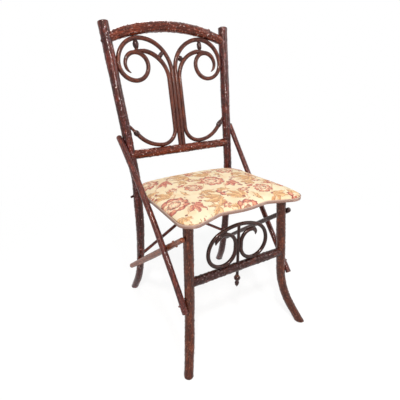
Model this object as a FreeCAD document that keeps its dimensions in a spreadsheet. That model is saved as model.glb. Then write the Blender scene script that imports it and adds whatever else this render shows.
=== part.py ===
"""Twig chair: bent sticks joined by tenons and nails, a scrolled back and an upholstered seat.

Millimetres, +Z up, the front faces -Y, and the origin lies on the floor under the middle of the chair.
Left and right are those of someone who stands in front of the chair and looks at it.
"""
import FreeCAD, Part
import math
import os

import Sketcher
from FreeCAD import Placement, Rotation, Vector

ACROSS = Vector(1, 0, 0)
UP = Vector(0, 0, 1)
SIDES = {"left": -1, "right": 1}

# Driving dimensions: lengths in millimetres, angles in degrees
SIZES = {
    # back posts, each one stick from the foot to the top
    "post_height": 917.0,
    "post_thick": 28.5,
    "post_top_round": 6.0,
    "post_half_gap": 184.4,
    "post_splay": 3.6,
    "back_rake": 11.0,
    "rear_leg_turn": 15.7,
    "rear_leg_tilt": 0.8,
    "post_bend_height": 453.0,
    "post_bend_radius": 120.0,
    "rear_sweep_height": 331.0,
    "rear_sweep_radius": 1060.0,
    "rear_sweep_turn": 12.2,
    "rear_kick_radius": 262.0,
    "rear_kick_turn": 16.5,
    # front legs
    "leg_thick": 28.0,
    "leg_half_gap": 158.1,
    "leg_set_forward": 161.2,
    "leg_turn": 33.6,
    "leg_splay": 4.1,
    "leg_bend_height": 181.0,
    "leg_bend_radius": 278.0,
    "leg_bend_turn": 28.4,
    "leg_tenon_thick": 16.0,
    "leg_tenon_long": 6.0,
    # rails and their joints
    "rail_height": 531.5,
    "rail_set_back": 163.9,
    "lower_rail_thick": 28.4,
    "seat_rail_thick": 24.0,
    "stretcher_height": 244.0,
    "stretcher_thick": 26.0,
    "crest_thick": 34.0,
    "crest_radius": 549.0,
    "crest_rise": 385.6,
    "rail_tenon_thick": 14.0,
    "rail_tenon_past": 5.0,
    # scrolled back
    "rod_thick": 12.3,
    "volute_radius": 74.0,
    "volute_tip_turn": 60.0,
    "curl_arch_radius": 88.0,
    "curl_foot_radius": 50.0,
    "curl_sweep_radius": 105.0,
    "curl_sweep_turn": 50.0,
    "curl_scarf_rise": 5.0,
    "curl_neck_thick": 9.0,
    "curl_neck_deep": 9.0,
    "stem_tenon_thick": 8.0,
    "stem_tenon_long": 9.0,
    "knob_thick": 17.0,
    "knob_flat_thick": 12.0,
    "left_knob_long": 17.5,
    "right_knob_long": 26.0,
    "left_crown_bead_thick": 19.0,
    "right_crown_bead_thick": 16.5,
    "left_throat_bead_thick": 13.6,
    "right_throat_bead_thick": 17.5,
    "crown_bead_aside": 11.0,
    "left_throat_bead_turn": 42.0,
    "right_throat_bead_turn": 50.0,
    "bead_flat_thick": 8.0,
    # front scroll, drop rod and finial
    "scroll_thick": 10.0,
    "scroll_high": 118.5,
    "scroll_aside": 4.0,
    "scroll_arch_radius": 155.0,
    "scroll_arch_turn": 25.0,
    "scroll_shoulder_radius": 62.0,
    "scroll_inner_run": 15.0,
    "scroll_left_top_radius": 40.0,
    "scroll_left_beak_radius": 27.0,
    "scroll_left_beak_turn": 80.0,
    "scroll_right_top_radius": 35.0,
    "scroll_right_beak_radius": 17.0,
    "scroll_right_beak_turn": 105.0,
    "drop_rod_thick": 9.0,
    "drop_below": 19.0,
    "finial_flat_thick": 14.0,
    "finial_knob_thick": 21.0,
    "finial_knob_long": 16.0,
    "finial_neck_thick": 8.0,
    "finial_drop_thick": 14.5,
    "finial_drop_long": 20.0,
    "finial_tip_thick": 5.0,
    "finial_socket_deep": 10.0,
    # braces
    "long_brace_thick": 17.5,
    "long_brace_top_height": 581.0,
    "long_brace_foot_height": 177.0,
    "long_brace_overhang": 14.0,
    "short_brace_thick": 16.0,
    "short_brace_rear_height": 131.0,
    "short_brace_front_height": 375.0,
    "short_brace_rear_overhang": 30.0,
    "short_brace_front_overhang": 11.0,
    "short_brace_bow": 5.0,
    "cross_brace_thick": 10.0,
    "cross_brace_low_height": 165.0,
    "cross_brace_high_height": 393.0,
    "cross_brace_socket_deep": 8.0,
    # seat
    "seat_underside": 428.5,
    "board_thick": 10.0,
    "cover_thick": 1.5,
    "hem_wide": 14.0,
    "padding_edge_high": 3.5,
    "crown_high": 12.0,
    "crown_forward": 38.1,
    "seat_half_wide": 199.0,
    "seat_front_reach": 200.6,
    "seat_front_radius": 200.0,
    "seat_dip_radius": 45.0,
    "seat_dip_half_gap": 72.0,
    "seat_dip_deep": 8.5,
    "seat_lobe_radius": 38.0,
    "seat_lobe_flare": 2.0,
    "seat_lobe_forward": 19.5,
    "seat_waist_radius": 600.0,
    "seat_waist_forward": 90.1,
    "seat_corner_radius": 72.0,
    "seat_corner_in": 2.5,
    "seat_rear_reach": 148.4,
    "gimp_wide": 10.0,
    "gimp_thick": 1.8,
    "gimp_rise": 1.5,
    # fasteners
    "nail_thick": 2.4,
    "nail_recess": 0.5,
    "rod_nail_long": 26.0,
    "brace_nail_long": 36.0,
    "crossing_nail_long": 29.0,
    "crest_nail_long": 41.0,
    "cross_nail_long": 17.0,
    "screw_thick": 4.0,
    "screw_lean": 30.0,
    "screw_bite": 9.0,
    "screw_head_thick": 8.0,
    "screw_head_long": 2.5,
    "screw_head_recess": 1.5,
    "screw_spacing": 110.0,
    "tack_thick": 1.4,
    "tack_long": 8.0,
    "tack_head_thick": 6.0,
    "tack_head_long": 1.0,
    # fits
    "gap": 0.3,
    "fit_gap": 0.2,
    "end_gap": 0.5,
    "nail_gap": 0.15,
    "overrun": 40.0,
}

# Shares, chosen by hand, of the sizes that they follow
CREST_STATION_SHARES = (-1.0, -0.5, 0.0, 0.5, 1.0)
CREST_THICK_SHARES = (0.86, 0.96, 1.0, 0.95, 0.80)
VOLUTE_RADIUS_SHARES = (0.69, 0.595, 0.527, 0.473, 0.38)
CROWN_BEAD_ASIDE_SHARES = {"left": 1.0, "right": 0.0}
LONG_BRACE_CROSSING_SHARES = {"left": 0.785, "right": 0.685}
BUNDLE_NAIL_SHARES = (0.2, 0.8)
CROWN_SCALE_SHARES = (1.0, 0.95, 0.82, 0.6, 0.35)
CROWN_HIGH_SHARES = (0.0, 0.42, 0.78, 0.95, 1.0)
TACK_LINE_SHARE = 0.6
TACK_COUNT = 24
SCREW_STATIONS = (-1, 0, 1)

document = FreeCAD.newDocument("twig_chair")
known = {}
sheets = []


def open_sheet(name):
    """Add a spreadsheet; the sizes that are worked out next are kept on it."""
    sheet = document.addObject("Spreadsheet::Sheet", name)
    sheet.Label = name
    sheets.append(sheet)


def keep(alias, number):
    """Write one number on the open sheet under its alias."""
    sheet = sheets[-1]
    row = len([owner for owner, value in known.values() if owner is sheet]) + 1
    sheet.set(f"A{row}", alias)
    sheet.set(f"B{row}", repr(float(number)))
    sheet.setAlias(f"B{row}", alias)
    known[alias] = (sheet, float(number))


def derive(alias, number):
    """Keep a size that follows from the driving ones, so that features can be bound to it."""
    if alias not in known:
        keep(alias, number)
        sheets[-1].recompute()
    return size(alias)


def size(alias):
    """Return the number that is kept under an alias."""
    return known[alias][1]


def half(alias):
    """Return half of a kept size: the radius of a thickness."""
    return size(alias) / 2


def reference(alias):
    """Return the expression that names a kept size."""
    return f"{known[alias][0].Name}.{alias}"


def sine(degrees):
    """Return the sine of an angle in degrees."""
    return math.sin(math.radians(degrees))


def cosine(degrees):
    """Return the cosine of an angle in degrees."""
    return math.cos(math.radians(degrees))


def tangent(degrees):
    """Return the tangent of an angle in degrees."""
    return math.tan(math.radians(degrees))


def unit(vector):
    """Return the vector at length one."""
    return Vector(vector).normalize()


open_sheet("sizes")
for name, number in SIZES.items():
    keep(name, number)
document.recompute()


# Sketches and features

def make_body(label, placement=Placement()):
    """Add a body of its own name at its place."""
    body = document.addObject("PartDesign::Body", label)
    body.Label = label
    body.Placement = placement
    return body


def sketch_on(body, role, name, offset=Placement()):
    """Attach a sketch to one of the body's own origin planes."""
    sketch = body.newObject("Sketcher::SketchObject", name)
    plane = next(item for item in body.Origin.OriginFeatures if item.Role == role)
    sketch.AttachmentSupport = (plane, "")
    sketch.MapMode = "FlatFace"
    sketch.AttachmentOffset = offset
    return sketch


def bind(sketch, constraint, expression):
    """Add a dimension to a sketch and bind it to the sheet."""
    index = sketch.addConstraint(constraint)
    sketch.setExpression(f"Constraints[{index}]", expression)


def disc(body, name, centre, normal, thick):
    """Draw a circle of a kept thickness, centred on a point of the body and square to a direction."""
    sketch = sketch_on(body, "XY_Plane", name, Placement(centre, Rotation(UP, normal)))
    sketch.addGeometry(Part.Circle(Vector(), UP, half(thick)), False)
    sketch.addConstraint(Sketcher.Constraint("Coincident", 0, 3, -1, 1))
    bind(sketch, Sketcher.Constraint("Diameter", 0, size(thick)), reference(thick))
    return sketch


def pad(body, name, sketch, length):
    """Extrude a sketch along its normal by a kept length."""
    feature = body.newObject("PartDesign::Pad", name)
    feature.Profile = sketch
    feature.setExpression("Length", reference(length))
    document.recompute()
    return feature


def check_cut(body, name, before):
    """Stop where a cut has missed its piece."""
    document.recompute()
    if body.Shape.Volume >= before:
        raise ValueError(f"{body.Label}: {name} cuts nothing")


def cut(body, name, sketch, length):
    """Cut a sketch into the body against its normal by a kept length."""
    before = body.Shape.Volume
    feature = body.newObject("PartDesign::Pocket", name)
    feature.Profile = sketch
    feature.setExpression("Length", reference(length))
    check_cut(body, name, before)


def bore(body, name, start, direction, thick, length):
    """Cut a round hole from a point of the chair in a direction."""
    inverse = body.Placement.inverse()
    sketch = disc(body, f"{name}_section", inverse.multVec(start), -inverse.Rotation.multVec(direction),
                  thick)
    cut(body, name, sketch, length)


def loft(body, name, kind, sections, ruled):
    """Add or cut a skin through sketches, smooth or straight from one to the next."""
    feature = body.newObject(f"PartDesign::{kind}Loft", name)
    feature.Profile = sections[0]
    feature.Sections = sections[1:]
    feature.Ruled = ruled
    document.recompute()


def revolve(body, name, kind, sketch, axis):
    """Turn a sketch about one of its own axes, to add or to cut a ring."""
    feature = body.newObject(f"PartDesign::{kind}", name)
    feature.Profile = sketch
    feature.ReferenceAxis = (sketch, [axis])
    return feature


def ring_section(body, name, offset, radius, thick):
    """Draw the round section of a ring that turns about the sketch's horizontal axis."""
    sketch = sketch_on(body, "YZ_Plane", name, offset)
    sketch.addGeometry(Part.Circle(Vector(0, size(radius), 0), UP, half(thick)), False)
    sketch.addConstraint(Sketcher.Constraint("PointOnObject", 0, 3, -2))
    bind(sketch, Sketcher.Constraint("DistanceY", -1, 1, 0, 3, size(radius)), reference(radius))
    bind(sketch, Sketcher.Constraint("Diameter", 0, size(thick)), reference(thick))
    return sketch


class Route:
    """The line of a bent stick in one plane: runs and tangent bends, walked from a start in a heading."""

    def __init__(self, start, heading, legs=()):
        self.start = start
        self.heading = heading
        self.legs = list(legs)

    def run(self, length):
        """Walk straight on by a kept length."""
        self.legs.append(("run", length, 0.0))
        return self

    def bend(self, radius, turn):
        """Walk round a bend of a kept radius; a positive turn goes to the left."""
        self.legs.append(("bend", radius, turn))
        return self

    def walk(self):
        """List each leg with its start, its heading there, its centre where it bends, and its length."""
        u, v = self.start
        heading = self.heading
        walked = []
        for kind, alias, turn in self.legs:
            if kind == "run":
                walked.append((kind, alias, turn, (u, v), heading, None, size(alias)))
                u += size(alias) * cosine(heading)
                v += size(alias) * sine(heading)
            else:
                hand = math.copysign(1, turn)
                centre = (u - hand * size(alias) * sine(heading), v + hand * size(alias) * cosine(heading))
                length = size(alias) * math.radians(abs(turn))
                walked.append((kind, alias, turn, (u, v), heading, centre, length))
                heading += turn
                u = centre[0] + hand * size(alias) * sine(heading)
                v = centre[1] - hand * size(alias) * cosine(heading)
        return walked, (u, v), heading

    def spot(self, distance):
        """Return the point and the heading after a walked distance."""
        for kind, alias, turn, (u, v), heading, centre, length in self.walk()[0]:
            if distance <= length:
                break
            distance -= length
        distance = min(distance, length)
        if kind == "run":
            return u + distance * cosine(heading), v + distance * sine(heading), heading
        hand = math.copysign(1, turn)
        heading += hand * math.degrees(distance / size(alias))
        return (centre[0] + hand * size(alias) * sine(heading),
                centre[1] - hand * size(alias) * cosine(heading), heading)

    def draw(self, sketch):
        """Draw the route in a sketch, tangent from leg to leg, with its lengths and radii bound."""
        previous = None
        for index, (kind, alias, turn, (u, v), heading, centre, length) in enumerate(self.walk()[0]):
            if kind == "run":
                far = Vector(u + length * cosine(heading), v + length * sine(heading), 0)
                sketch.addGeometry(Part.LineSegment(Vector(u, v, 0), far), False)
                first, last = 1, 2
                bind(sketch, Sketcher.Constraint("Distance", index, length), reference(alias))
            else:
                hand = math.copysign(1, turn)
                angles = sorted((math.radians(heading - hand * 90), math.radians(heading + turn - hand * 90)))
                circle = Part.Circle(Vector(*centre, 0), UP, size(alias))
                sketch.addGeometry(Part.ArcOfCircle(circle, *angles), False)
                first, last = (1, 2) if hand > 0 else (2, 1)
                bind(sketch, Sketcher.Constraint("Radius", index, size(alias)), reference(alias))
            if index:
                sketch.addConstraint(Sketcher.Constraint("Tangent", index - 1, previous, index, first))
            previous = last


def joined(left, right):
    """Return one route from the tip of a left half to the tip of a right half, which start back to back."""
    (u, v), heading = left.walk()[1:]
    return Route((-u, v), -heading, left.legs[::-1] + right.legs)


def bent_stick(label, placement, route, thick):
    """Sweep a round stick along a route that lies in the body's XZ plane."""
    body = make_body(label, placement)
    line = sketch_on(body, "XZ_Plane", f"{label}_line")
    route.draw(line)
    heading = Vector(cosine(route.heading), 0, sine(route.heading))
    section = disc(body, f"{label}_section", Vector(route.start[0], 0, route.start[1]), heading, thick)
    document.recompute()
    sweep = body.newObject("PartDesign::AdditivePipe", f"{label}_sweep")
    sweep.Profile = section
    sweep.Spine = line
    document.recompute()
    return body


def straight_stick(label, start, end, thick):
    """Extrude a round stick between two points of the chair."""
    derive(f"{label}_long", (end - start).Length)
    body = make_body(label, Placement(start, Rotation(UP, end - start)))
    pad(body, f"{label}_stick", disc(body, f"{label}_section", Vector(), UP, thick), f"{label}_long")
    return body


def arc_through(start, middle, end):
    """Return the centre, the radius and the normal of the arc that is walked through three points."""
    circle = Part.Arc(start, middle, end).toShape().Curve
    return circle.Center, circle.Radius, unit((start - circle.Center).cross(end - circle.Center))


def bowed_stick(label, points, overhangs, thick):
    """Turn a round stick along the arc through three points, longer at each end by an overhang."""
    centre, radius, normal = arc_through(*points)
    opening = math.degrees((points[0] - centre).getAngle(points[2] - centre))
    early, late = [math.degrees(overhang / radius) for overhang in overhangs]
    outward = Rotation(normal, -early).multVec(unit(points[0] - centre))
    along = normal.cross(outward)
    derive(f"{label}_radius", radius)
    derive(f"{label}_opening", opening + early + late)
    body = make_body(label, Placement(centre, Rotation(along, normal, outward, "ZXY")))
    sketch = ring_section(body, f"{label}_section", Placement(), f"{label}_radius", thick)
    turn = revolve(body, f"{label}_turn", "Revolution", sketch, "H_Axis")
    turn.setExpression("Angle", reference(f"{label}_opening"))
    document.recompute()
    return body


def turned_piece(label, base, axis, corners):
    """Turn a piece about its axis; a corner names its radius, its height and the bulge that follows it."""
    body = make_body(label, Placement(base, Rotation(UP, axis)))
    sketch = sketch_on(body, "XZ_Plane", f"{label}_outline")
    spots = [Vector(size(radius) / 2 if radius else 0, size(height) if height else 0, 0)
             for radius, height, bulge in corners]
    for index, (thick, height, bulge) in enumerate(corners):
        here, there = spots[index], spots[(index + 1) % len(spots)]
        if bulge:
            chord = there - here
            away = unit(Vector(chord.y, -chord.x, 0))
            centre = (here + there) / 2 - away * math.sqrt(size(bulge) ** 2 - (chord.Length / 2) ** 2)
            angles = [math.atan2(spot.y - centre.y, spot.x - centre.x) for spot in (here, there)]
            sketch.addGeometry(Part.ArcOfCircle(Part.Circle(centre, UP, size(bulge)), *angles), False)
            bind(sketch, Sketcher.Constraint("Radius", index, size(bulge)), reference(bulge))
        else:
            sketch.addGeometry(Part.LineSegment(here, there), False)
    for index, (thick, height, bulge) in enumerate(corners):
        sketch.addConstraint(Sketcher.Constraint("Coincident", index, 2, (index + 1) % len(spots), 1))
        if thick:
            bind(sketch, Sketcher.Constraint("DistanceX", -1, 1, index, 1, half(thick)),
                 f"{reference(thick)} / 2")
        else:
            sketch.addConstraint(Sketcher.Constraint("PointOnObject", index, 1, -2))
        if height:
            bind(sketch, Sketcher.Constraint("DistanceY", -1, 1, index, 1, size(height)), reference(height))
        else:
            sketch.addConstraint(Sketcher.Constraint("PointOnObject", index, 1, -1))
    revolve(body, f"{label}_turn", "Revolution", sketch, "V_Axis")
    document.recompute()
    return body


def bulge_radius(chord, rise):
    """Return the radius of an arc from its chord and its rise."""
    return (chord ** 2 / 4 + rise ** 2) / (2 * rise)


def bead(label, base, axis, long, thick, flat):
    """Turn a barrel bead with flat ends."""
    derive(f"{label}_bulge", bulge_radius(size(long), half(thick) - half(flat)))
    corners = [(None, None, None), (flat, None, f"{label}_bulge"), (flat, long, None), (None, long, None)]
    return turned_piece(label, base, axis, corners)


bodies = {}
nodes = {}

# Back posts and front legs

back = Placement(Vector(0, size("rail_set_back"), size("rail_height")), Rotation(ACROSS, -size("back_rake")))
post_spot = {}
post_rise = {}
rear_lines = {}
front_lines = {}

open_sheet("joint_sizes")
derive("board_underside", size("seat_underside") + size("cover_thick"))
derive("trim_wide", 4 * size("post_thick"))
derive("trim_long", 2 * size("overrun"))
derive("leg_tenon_pad", 2 * size("leg_tenon_long"))
derive("leg_socket_thick", size("leg_tenon_thick") + 2 * size("fit_gap"))
derive("leg_socket_deep", size("leg_tenon_long") + size("end_gap"))
derive("post_cope_thick", size("post_thick") + 2 * size("gap"))
derive("leg_cope_thick", size("leg_thick") + 2 * size("gap"))
derive("cope_long", 2 * size("trim_wide"))
derive("mortise_thick", size("rail_tenon_thick") + 2 * size("fit_gap"))
derive("mortise_long", size("post_thick") + size("rail_tenon_past") + size("end_gap"))


def line_at(line, height):
    """Return the point and the upward direction of a leg's axis at a height of the chair."""
    frame, route = line
    low, high = 0.0, sum(leg[-1] for leg in route.walk()[0])
    for step in range(50):
        middle = (low + high) / 2
        u, v, heading = route.spot(middle)
        if frame.multVec(Vector(u, 0, v)).z > height:
            low = middle
        else:
            high = middle
    return frame.multVec(Vector(u, 0, v)), -frame.Rotation.multVec(Vector(cosine(heading), 0, sine(heading)))


def trim_foot(body, line):
    """Cut the foot of a leg flat at the floor."""
    frame, route = line
    u, v = route.walk()[1]
    foot = frame.multVec(Vector(u, 0, v))
    bore(body, f"{body.Label}_foot_cut", Vector(foot.x, foot.y, 0), -UP, "trim_wide", "trim_long")


def make_post(word, side):
    """Bend a back post: straight above the seat, then down and out to its foot."""
    label = f"back_post_{word}"
    start = Vector(side * size("post_half_gap"), size("rail_set_back"), size("rail_height"))
    rise = back.Rotation.multVec(Vector(side * sine(size("post_splay")), 0, cosine(size("post_splay"))))
    outward = Vector(side * sine(size("rear_leg_turn")), cosine(size("rear_leg_turn")), 0)
    upright = unit(rise - outward * rise.dot(outward))
    tilt = math.degrees(rise.getAngle(upright))
    slope = math.degrees(rise.getAngle(UP))
    edge = size("post_top_round")
    top = size("post_height") - edge - (half("post_thick") - edge) * sine(slope) + edge * cosine(slope)
    above = (top - start.z) / rise.z
    turn = tilt + size("rear_leg_tilt")
    reach = size("post_bend_radius") * tangent(turn / 2)
    low_tilt = size("rear_leg_tilt") + size("rear_sweep_turn")
    foot_tilt = low_tilt + size("rear_kick_turn")
    derive("post_upper_run", above + (start.z - size("post_bend_height")) / rise.z - reach)
    derive("post_middle_run",
           (size("post_bend_height") - size("rear_sweep_height")) / cosine(size("rear_leg_tilt")) - reach)
    derive("post_foot_run", size("overrun") + size("rear_sweep_height")
           - size("rear_sweep_radius") * (sine(low_tilt) - sine(size("rear_leg_tilt")))
           - size("rear_kick_radius") * (sine(foot_tilt) - sine(low_tilt)))
    route = Route((above * sine(tilt), above * cosine(tilt)), -90 - tilt)
    route.run("post_upper_run").bend("post_bend_radius", turn).run("post_middle_run")
    route.bend("rear_sweep_radius", size("rear_sweep_turn")).bend("rear_kick_radius", size("rear_kick_turn"))
    route.run("post_foot_run")
    line = (Placement(start, Rotation(outward, upright.cross(outward), upright, "ZXY")), route)
    body = bent_stick(label, *line, "post_thick")
    edges = body.Shape.Edges
    highest = max(range(len(edges)), key=lambda index: edges[index].CenterOfMass.z)
    sweep = body.Tip
    rounding = body.newObject("PartDesign::Fillet", f"{label}_top_round")
    rounding.Base = (sweep, [f"Edge{highest + 1}"])
    rounding.setExpression("Radius", reference("post_top_round"))
    document.recompute()
    trim_foot(body, line)
    post_spot[word], post_rise[word], rear_lines[word] = start, rise, line
    bodies[label] = body


def make_front_leg(word, side):
    """Bend a front leg: nearly upright under the seat, with its foot kicked out."""
    label = f"front_leg_{word}"
    top = Vector(side * size("leg_half_gap"), -size("leg_set_forward"), size("board_underside"))
    outward = Vector(side * sine(size("leg_turn")), -cosine(size("leg_turn")), 0)
    tilt = size("leg_splay")
    foot_tilt = tilt + size("leg_bend_turn")
    derive("leg_upper_run", size("overrun") + (top.z - size("leg_bend_height")) / cosine(tilt))
    derive("leg_foot_run", size("leg_bend_height") + size("overrun")
           - size("leg_bend_radius") * (sine(foot_tilt) - sine(tilt)))
    route = Route((-size("overrun") * sine(tilt), size("overrun") * cosine(tilt)), tilt - 90)
    route.run("leg_upper_run").bend("leg_bend_radius", size("leg_bend_turn")).run("leg_foot_run")
    line = (Placement(top, Rotation(outward, UP.cross(outward), UP, "ZXY")), route)
    body = bent_stick(label, *line, "leg_thick")
    trim_foot(body, line)
    bore(body, f"{label}_top_cut", top, UP, "trim_wide", "trim_long")
    start = body.Placement.inverse().multVec(top - UP * size("leg_tenon_long"))
    pad(body, f"{label}_tenon", disc(body, f"{label}_tenon_section", start, UP, "leg_tenon_thick"),
        "leg_tenon_pad")
    front_lines[word] = line
    bodies[label] = body


open_sheet("leg_sizes")
for word, side in SIDES.items():
    make_post(word, side)
    make_front_leg(word, side)

# Rails: each end is coped to its round leg and has a round tenon in a blind hole


def mortise(body, name, spot, direction):
    """Bore the blind hole of a rail's tenon, to just past the axis of the leg."""
    bore(body, name, spot - direction * size("post_thick"), direction, "mortise_thick", "mortise_long")


def cope(body, name, spot, direction, thick):
    """Shape the end of a rail to the leg that it meets."""
    bore(body, name, spot - direction * size("trim_wide"), direction, thick, "cope_long")


def straight_rail(label, rotation, ends, legs, thick, cope_thick):
    """Make a straight rail between the axes of two legs."""
    open_sheet(f"{label}_sizes")
    spots = [spot for spot, rise in ends]
    span = derive(f"{label}_span", (spots[1] - spots[0]).Length)
    derive(f"{label}_tenon_span", span + 2 * size("rail_tenon_past"))
    body = make_body(label, Placement((spots[0] + spots[1]) / 2, rotation))
    pad(body, f"{label}_stick", disc(body, f"{label}_section", Vector(-span / 2, 0, 0), ACROSS, thick),
        f"{label}_span")
    for (spot, rise), leg in zip(ends, legs):
        cope(body, f"{label}_cope_{leg}", spot, rise, cope_thick)
    start = Vector(-size(f"{label}_tenon_span") / 2, 0, 0)
    pad(body, f"{label}_tenon", disc(body, f"{label}_tenon_section", start, ACROSS, "rail_tenon_thick"),
        f"{label}_tenon_span")
    for (spot, rise), leg, side in zip(ends, legs, SIDES.values()):
        mortise(bodies[leg], f"{label}_mortise_{leg}", spot, ACROSS * side)
    bodies[label] = body


posts = [f"back_post_{word}" for word in SIDES]
front_legs = [f"front_leg_{word}" for word in SIDES]
straight_rail("lower_back_rail", back.Rotation, [(post_spot[word], post_rise[word]) for word in SIDES],
              posts, "lower_rail_thick", "post_cope_thick")
seat_rail_height = size("seat_underside") - size("gap") - half("seat_rail_thick")
straight_rail("rear_seat_rail", Rotation(), [line_at(rear_lines[word], seat_rail_height) for word in SIDES],
              posts, "seat_rail_thick", "post_cope_thick")
straight_rail("front_stretcher", Rotation(),
              [line_at(front_lines[word], size("stretcher_height")) for word in SIDES],
              front_legs, "stretcher_thick", "leg_cope_thick")

# Crest rail: an arch that is thickest in the middle

crest_centre = size("crest_rise") - size("crest_radius")
crest_opening = size("post_splay") + math.degrees(math.asin(
    (size("post_half_gap") + crest_centre * tangent(size("post_splay")))
    * cosine(size("post_splay")) / size("crest_radius")))


def crest_spot(angle):
    """Return the point of the crest's axis at an angle from its top, and the direction there."""
    return (Vector(size("crest_radius") * sine(angle), 0,
                   crest_centre + size("crest_radius") * cosine(angle)),
            Vector(cosine(angle), 0, -sine(angle)))


open_sheet("crest_sizes")
derive("crest_tenon_long", size("post_thick") + size("rail_tenon_past"))
for number, share in enumerate(CREST_THICK_SHARES):
    derive(f"crest_thick_{number}", size("crest_thick") * share)
crest = make_body("crest_rail", back)
crest_sections = []
for number, station in enumerate(CREST_STATION_SHARES):
    spot, direction = crest_spot(station * crest_opening)
    crest_sections.append(disc(crest, f"crest_section_{number}", spot, direction, f"crest_thick_{number}"))
document.recompute()
loft(crest, "crest_arch", "Additive", crest_sections, False)
bodies["crest_rail"] = crest
for word, side in SIDES.items():
    spot, direction = crest_spot(side * crest_opening)
    direction = direction * side
    cope(crest, f"crest_cope_{word}", back.multVec(spot), post_rise[word], "post_cope_thick")
    start = spot - direction * size("post_thick")
    pad(crest, f"crest_tenon_{word}",
        disc(crest, f"crest_tenon_section_{word}", start, direction, "rail_tenon_thick"), "crest_tenon_long")
    mortise(bodies[f"back_post_{word}"], "crest_mortise", back.multVec(spot),
            back.Rotation.multVec(direction))

# Scrolled back: two volute rods stand side by side on the lower rail, and two curl rods outside them

open_sheet("scroll_sizes")
rod = half("rod_thick")
gap = size("gap")
rail_top = half("lower_rail_thick")
volute_stem = derive("volute_stem_half_gap", rod + gap / 2)
curl_stem = derive("curl_stem_half_gap", 3 * rod + 1.5 * gap)
ring_radius = size("volute_radius")
crest_share = CREST_THICK_SHARES[1]
to_post = ring_radius + rod + half("post_thick") + gap
to_crest = size("crest_radius") - half("crest_thick") * crest_share - ring_radius - rod - gap
slope = tangent(size("post_splay"))
inner = size("post_half_gap") - to_post / cosine(size("post_splay"))
term = inner * slope - crest_centre
ring_v = (-term + math.sqrt(term ** 2 - (1 + slope ** 2)
                            * (inner ** 2 + crest_centre ** 2 - to_crest ** 2))) \
    / (1 + slope ** 2)
ring_u = inner + slope * ring_v
stem_start = derive("volute_stem_start", rail_top + gap)
derive("volute_arch_radius", ring_u - volute_stem)
derive("volute_stem_run", ring_v + ring_radius - size("volute_arch_radius") - stem_start)
for number, share in enumerate(VOLUTE_RADIUS_SHARES):
    derive(f"volute_radius_{number}", ring_radius * share)
scarf_u = ring_u + ring_radius - size("volute_radius_0") - size("volute_radius_1") + size("volute_radius_2")
scarf_v = ring_v - size("volute_radius_0") + size("volute_radius_1")
curl_top = scarf_v + size("volute_radius_2") + size("curl_scarf_rise")
curl_bottom = rail_top + gap + rod
derive("curl_top_run", scarf_u - curl_stem - size("curl_arch_radius"))
derive("curl_stem_run", curl_top - size("curl_arch_radius") - curl_bottom - size("curl_foot_radius"))
derive("scarf_thick", size("rod_thick") + 2 * gap)
derive("stem_socket_thick", size("stem_tenon_thick") + 2 * size("fit_gap"))
derive("stem_tenon_pad", size("stem_tenon_long") + gap)
derive("stem_socket_deep", size("stem_tenon_pad") + size("end_gap"))
neck_u = curl_stem + size("curl_foot_radius") + size("curl_sweep_radius") * sine(size("curl_sweep_turn"))
neck_v = curl_bottom + size("curl_sweep_radius") * (1 - cosine(size("curl_sweep_turn")))
post_clear = (size("post_half_gap") + slope * neck_v - neck_u) * cosine(size("post_splay")) \
    - half("post_thick")
neck_reach = post_clear / cosine(size("curl_sweep_turn") + size("post_splay"))
derive("curl_neck_long", neck_reach + size("curl_neck_deep"))
derive("curl_mortise_thick", size("curl_neck_thick") + 2 * size("fit_gap"))
derive("curl_mortise_long", size("curl_neck_long") + size("end_gap"))


def in_back(side, u, v):
    """Return the point of the chair at a place of the back, on one side of its middle."""
    return back.multVec(Vector(side * u, 0, v))


def along_back(side, u, v):
    """Return a direction of the chair from a direction in the back."""
    return back.Rotation.multVec(Vector(side * u, 0, v))


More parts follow.
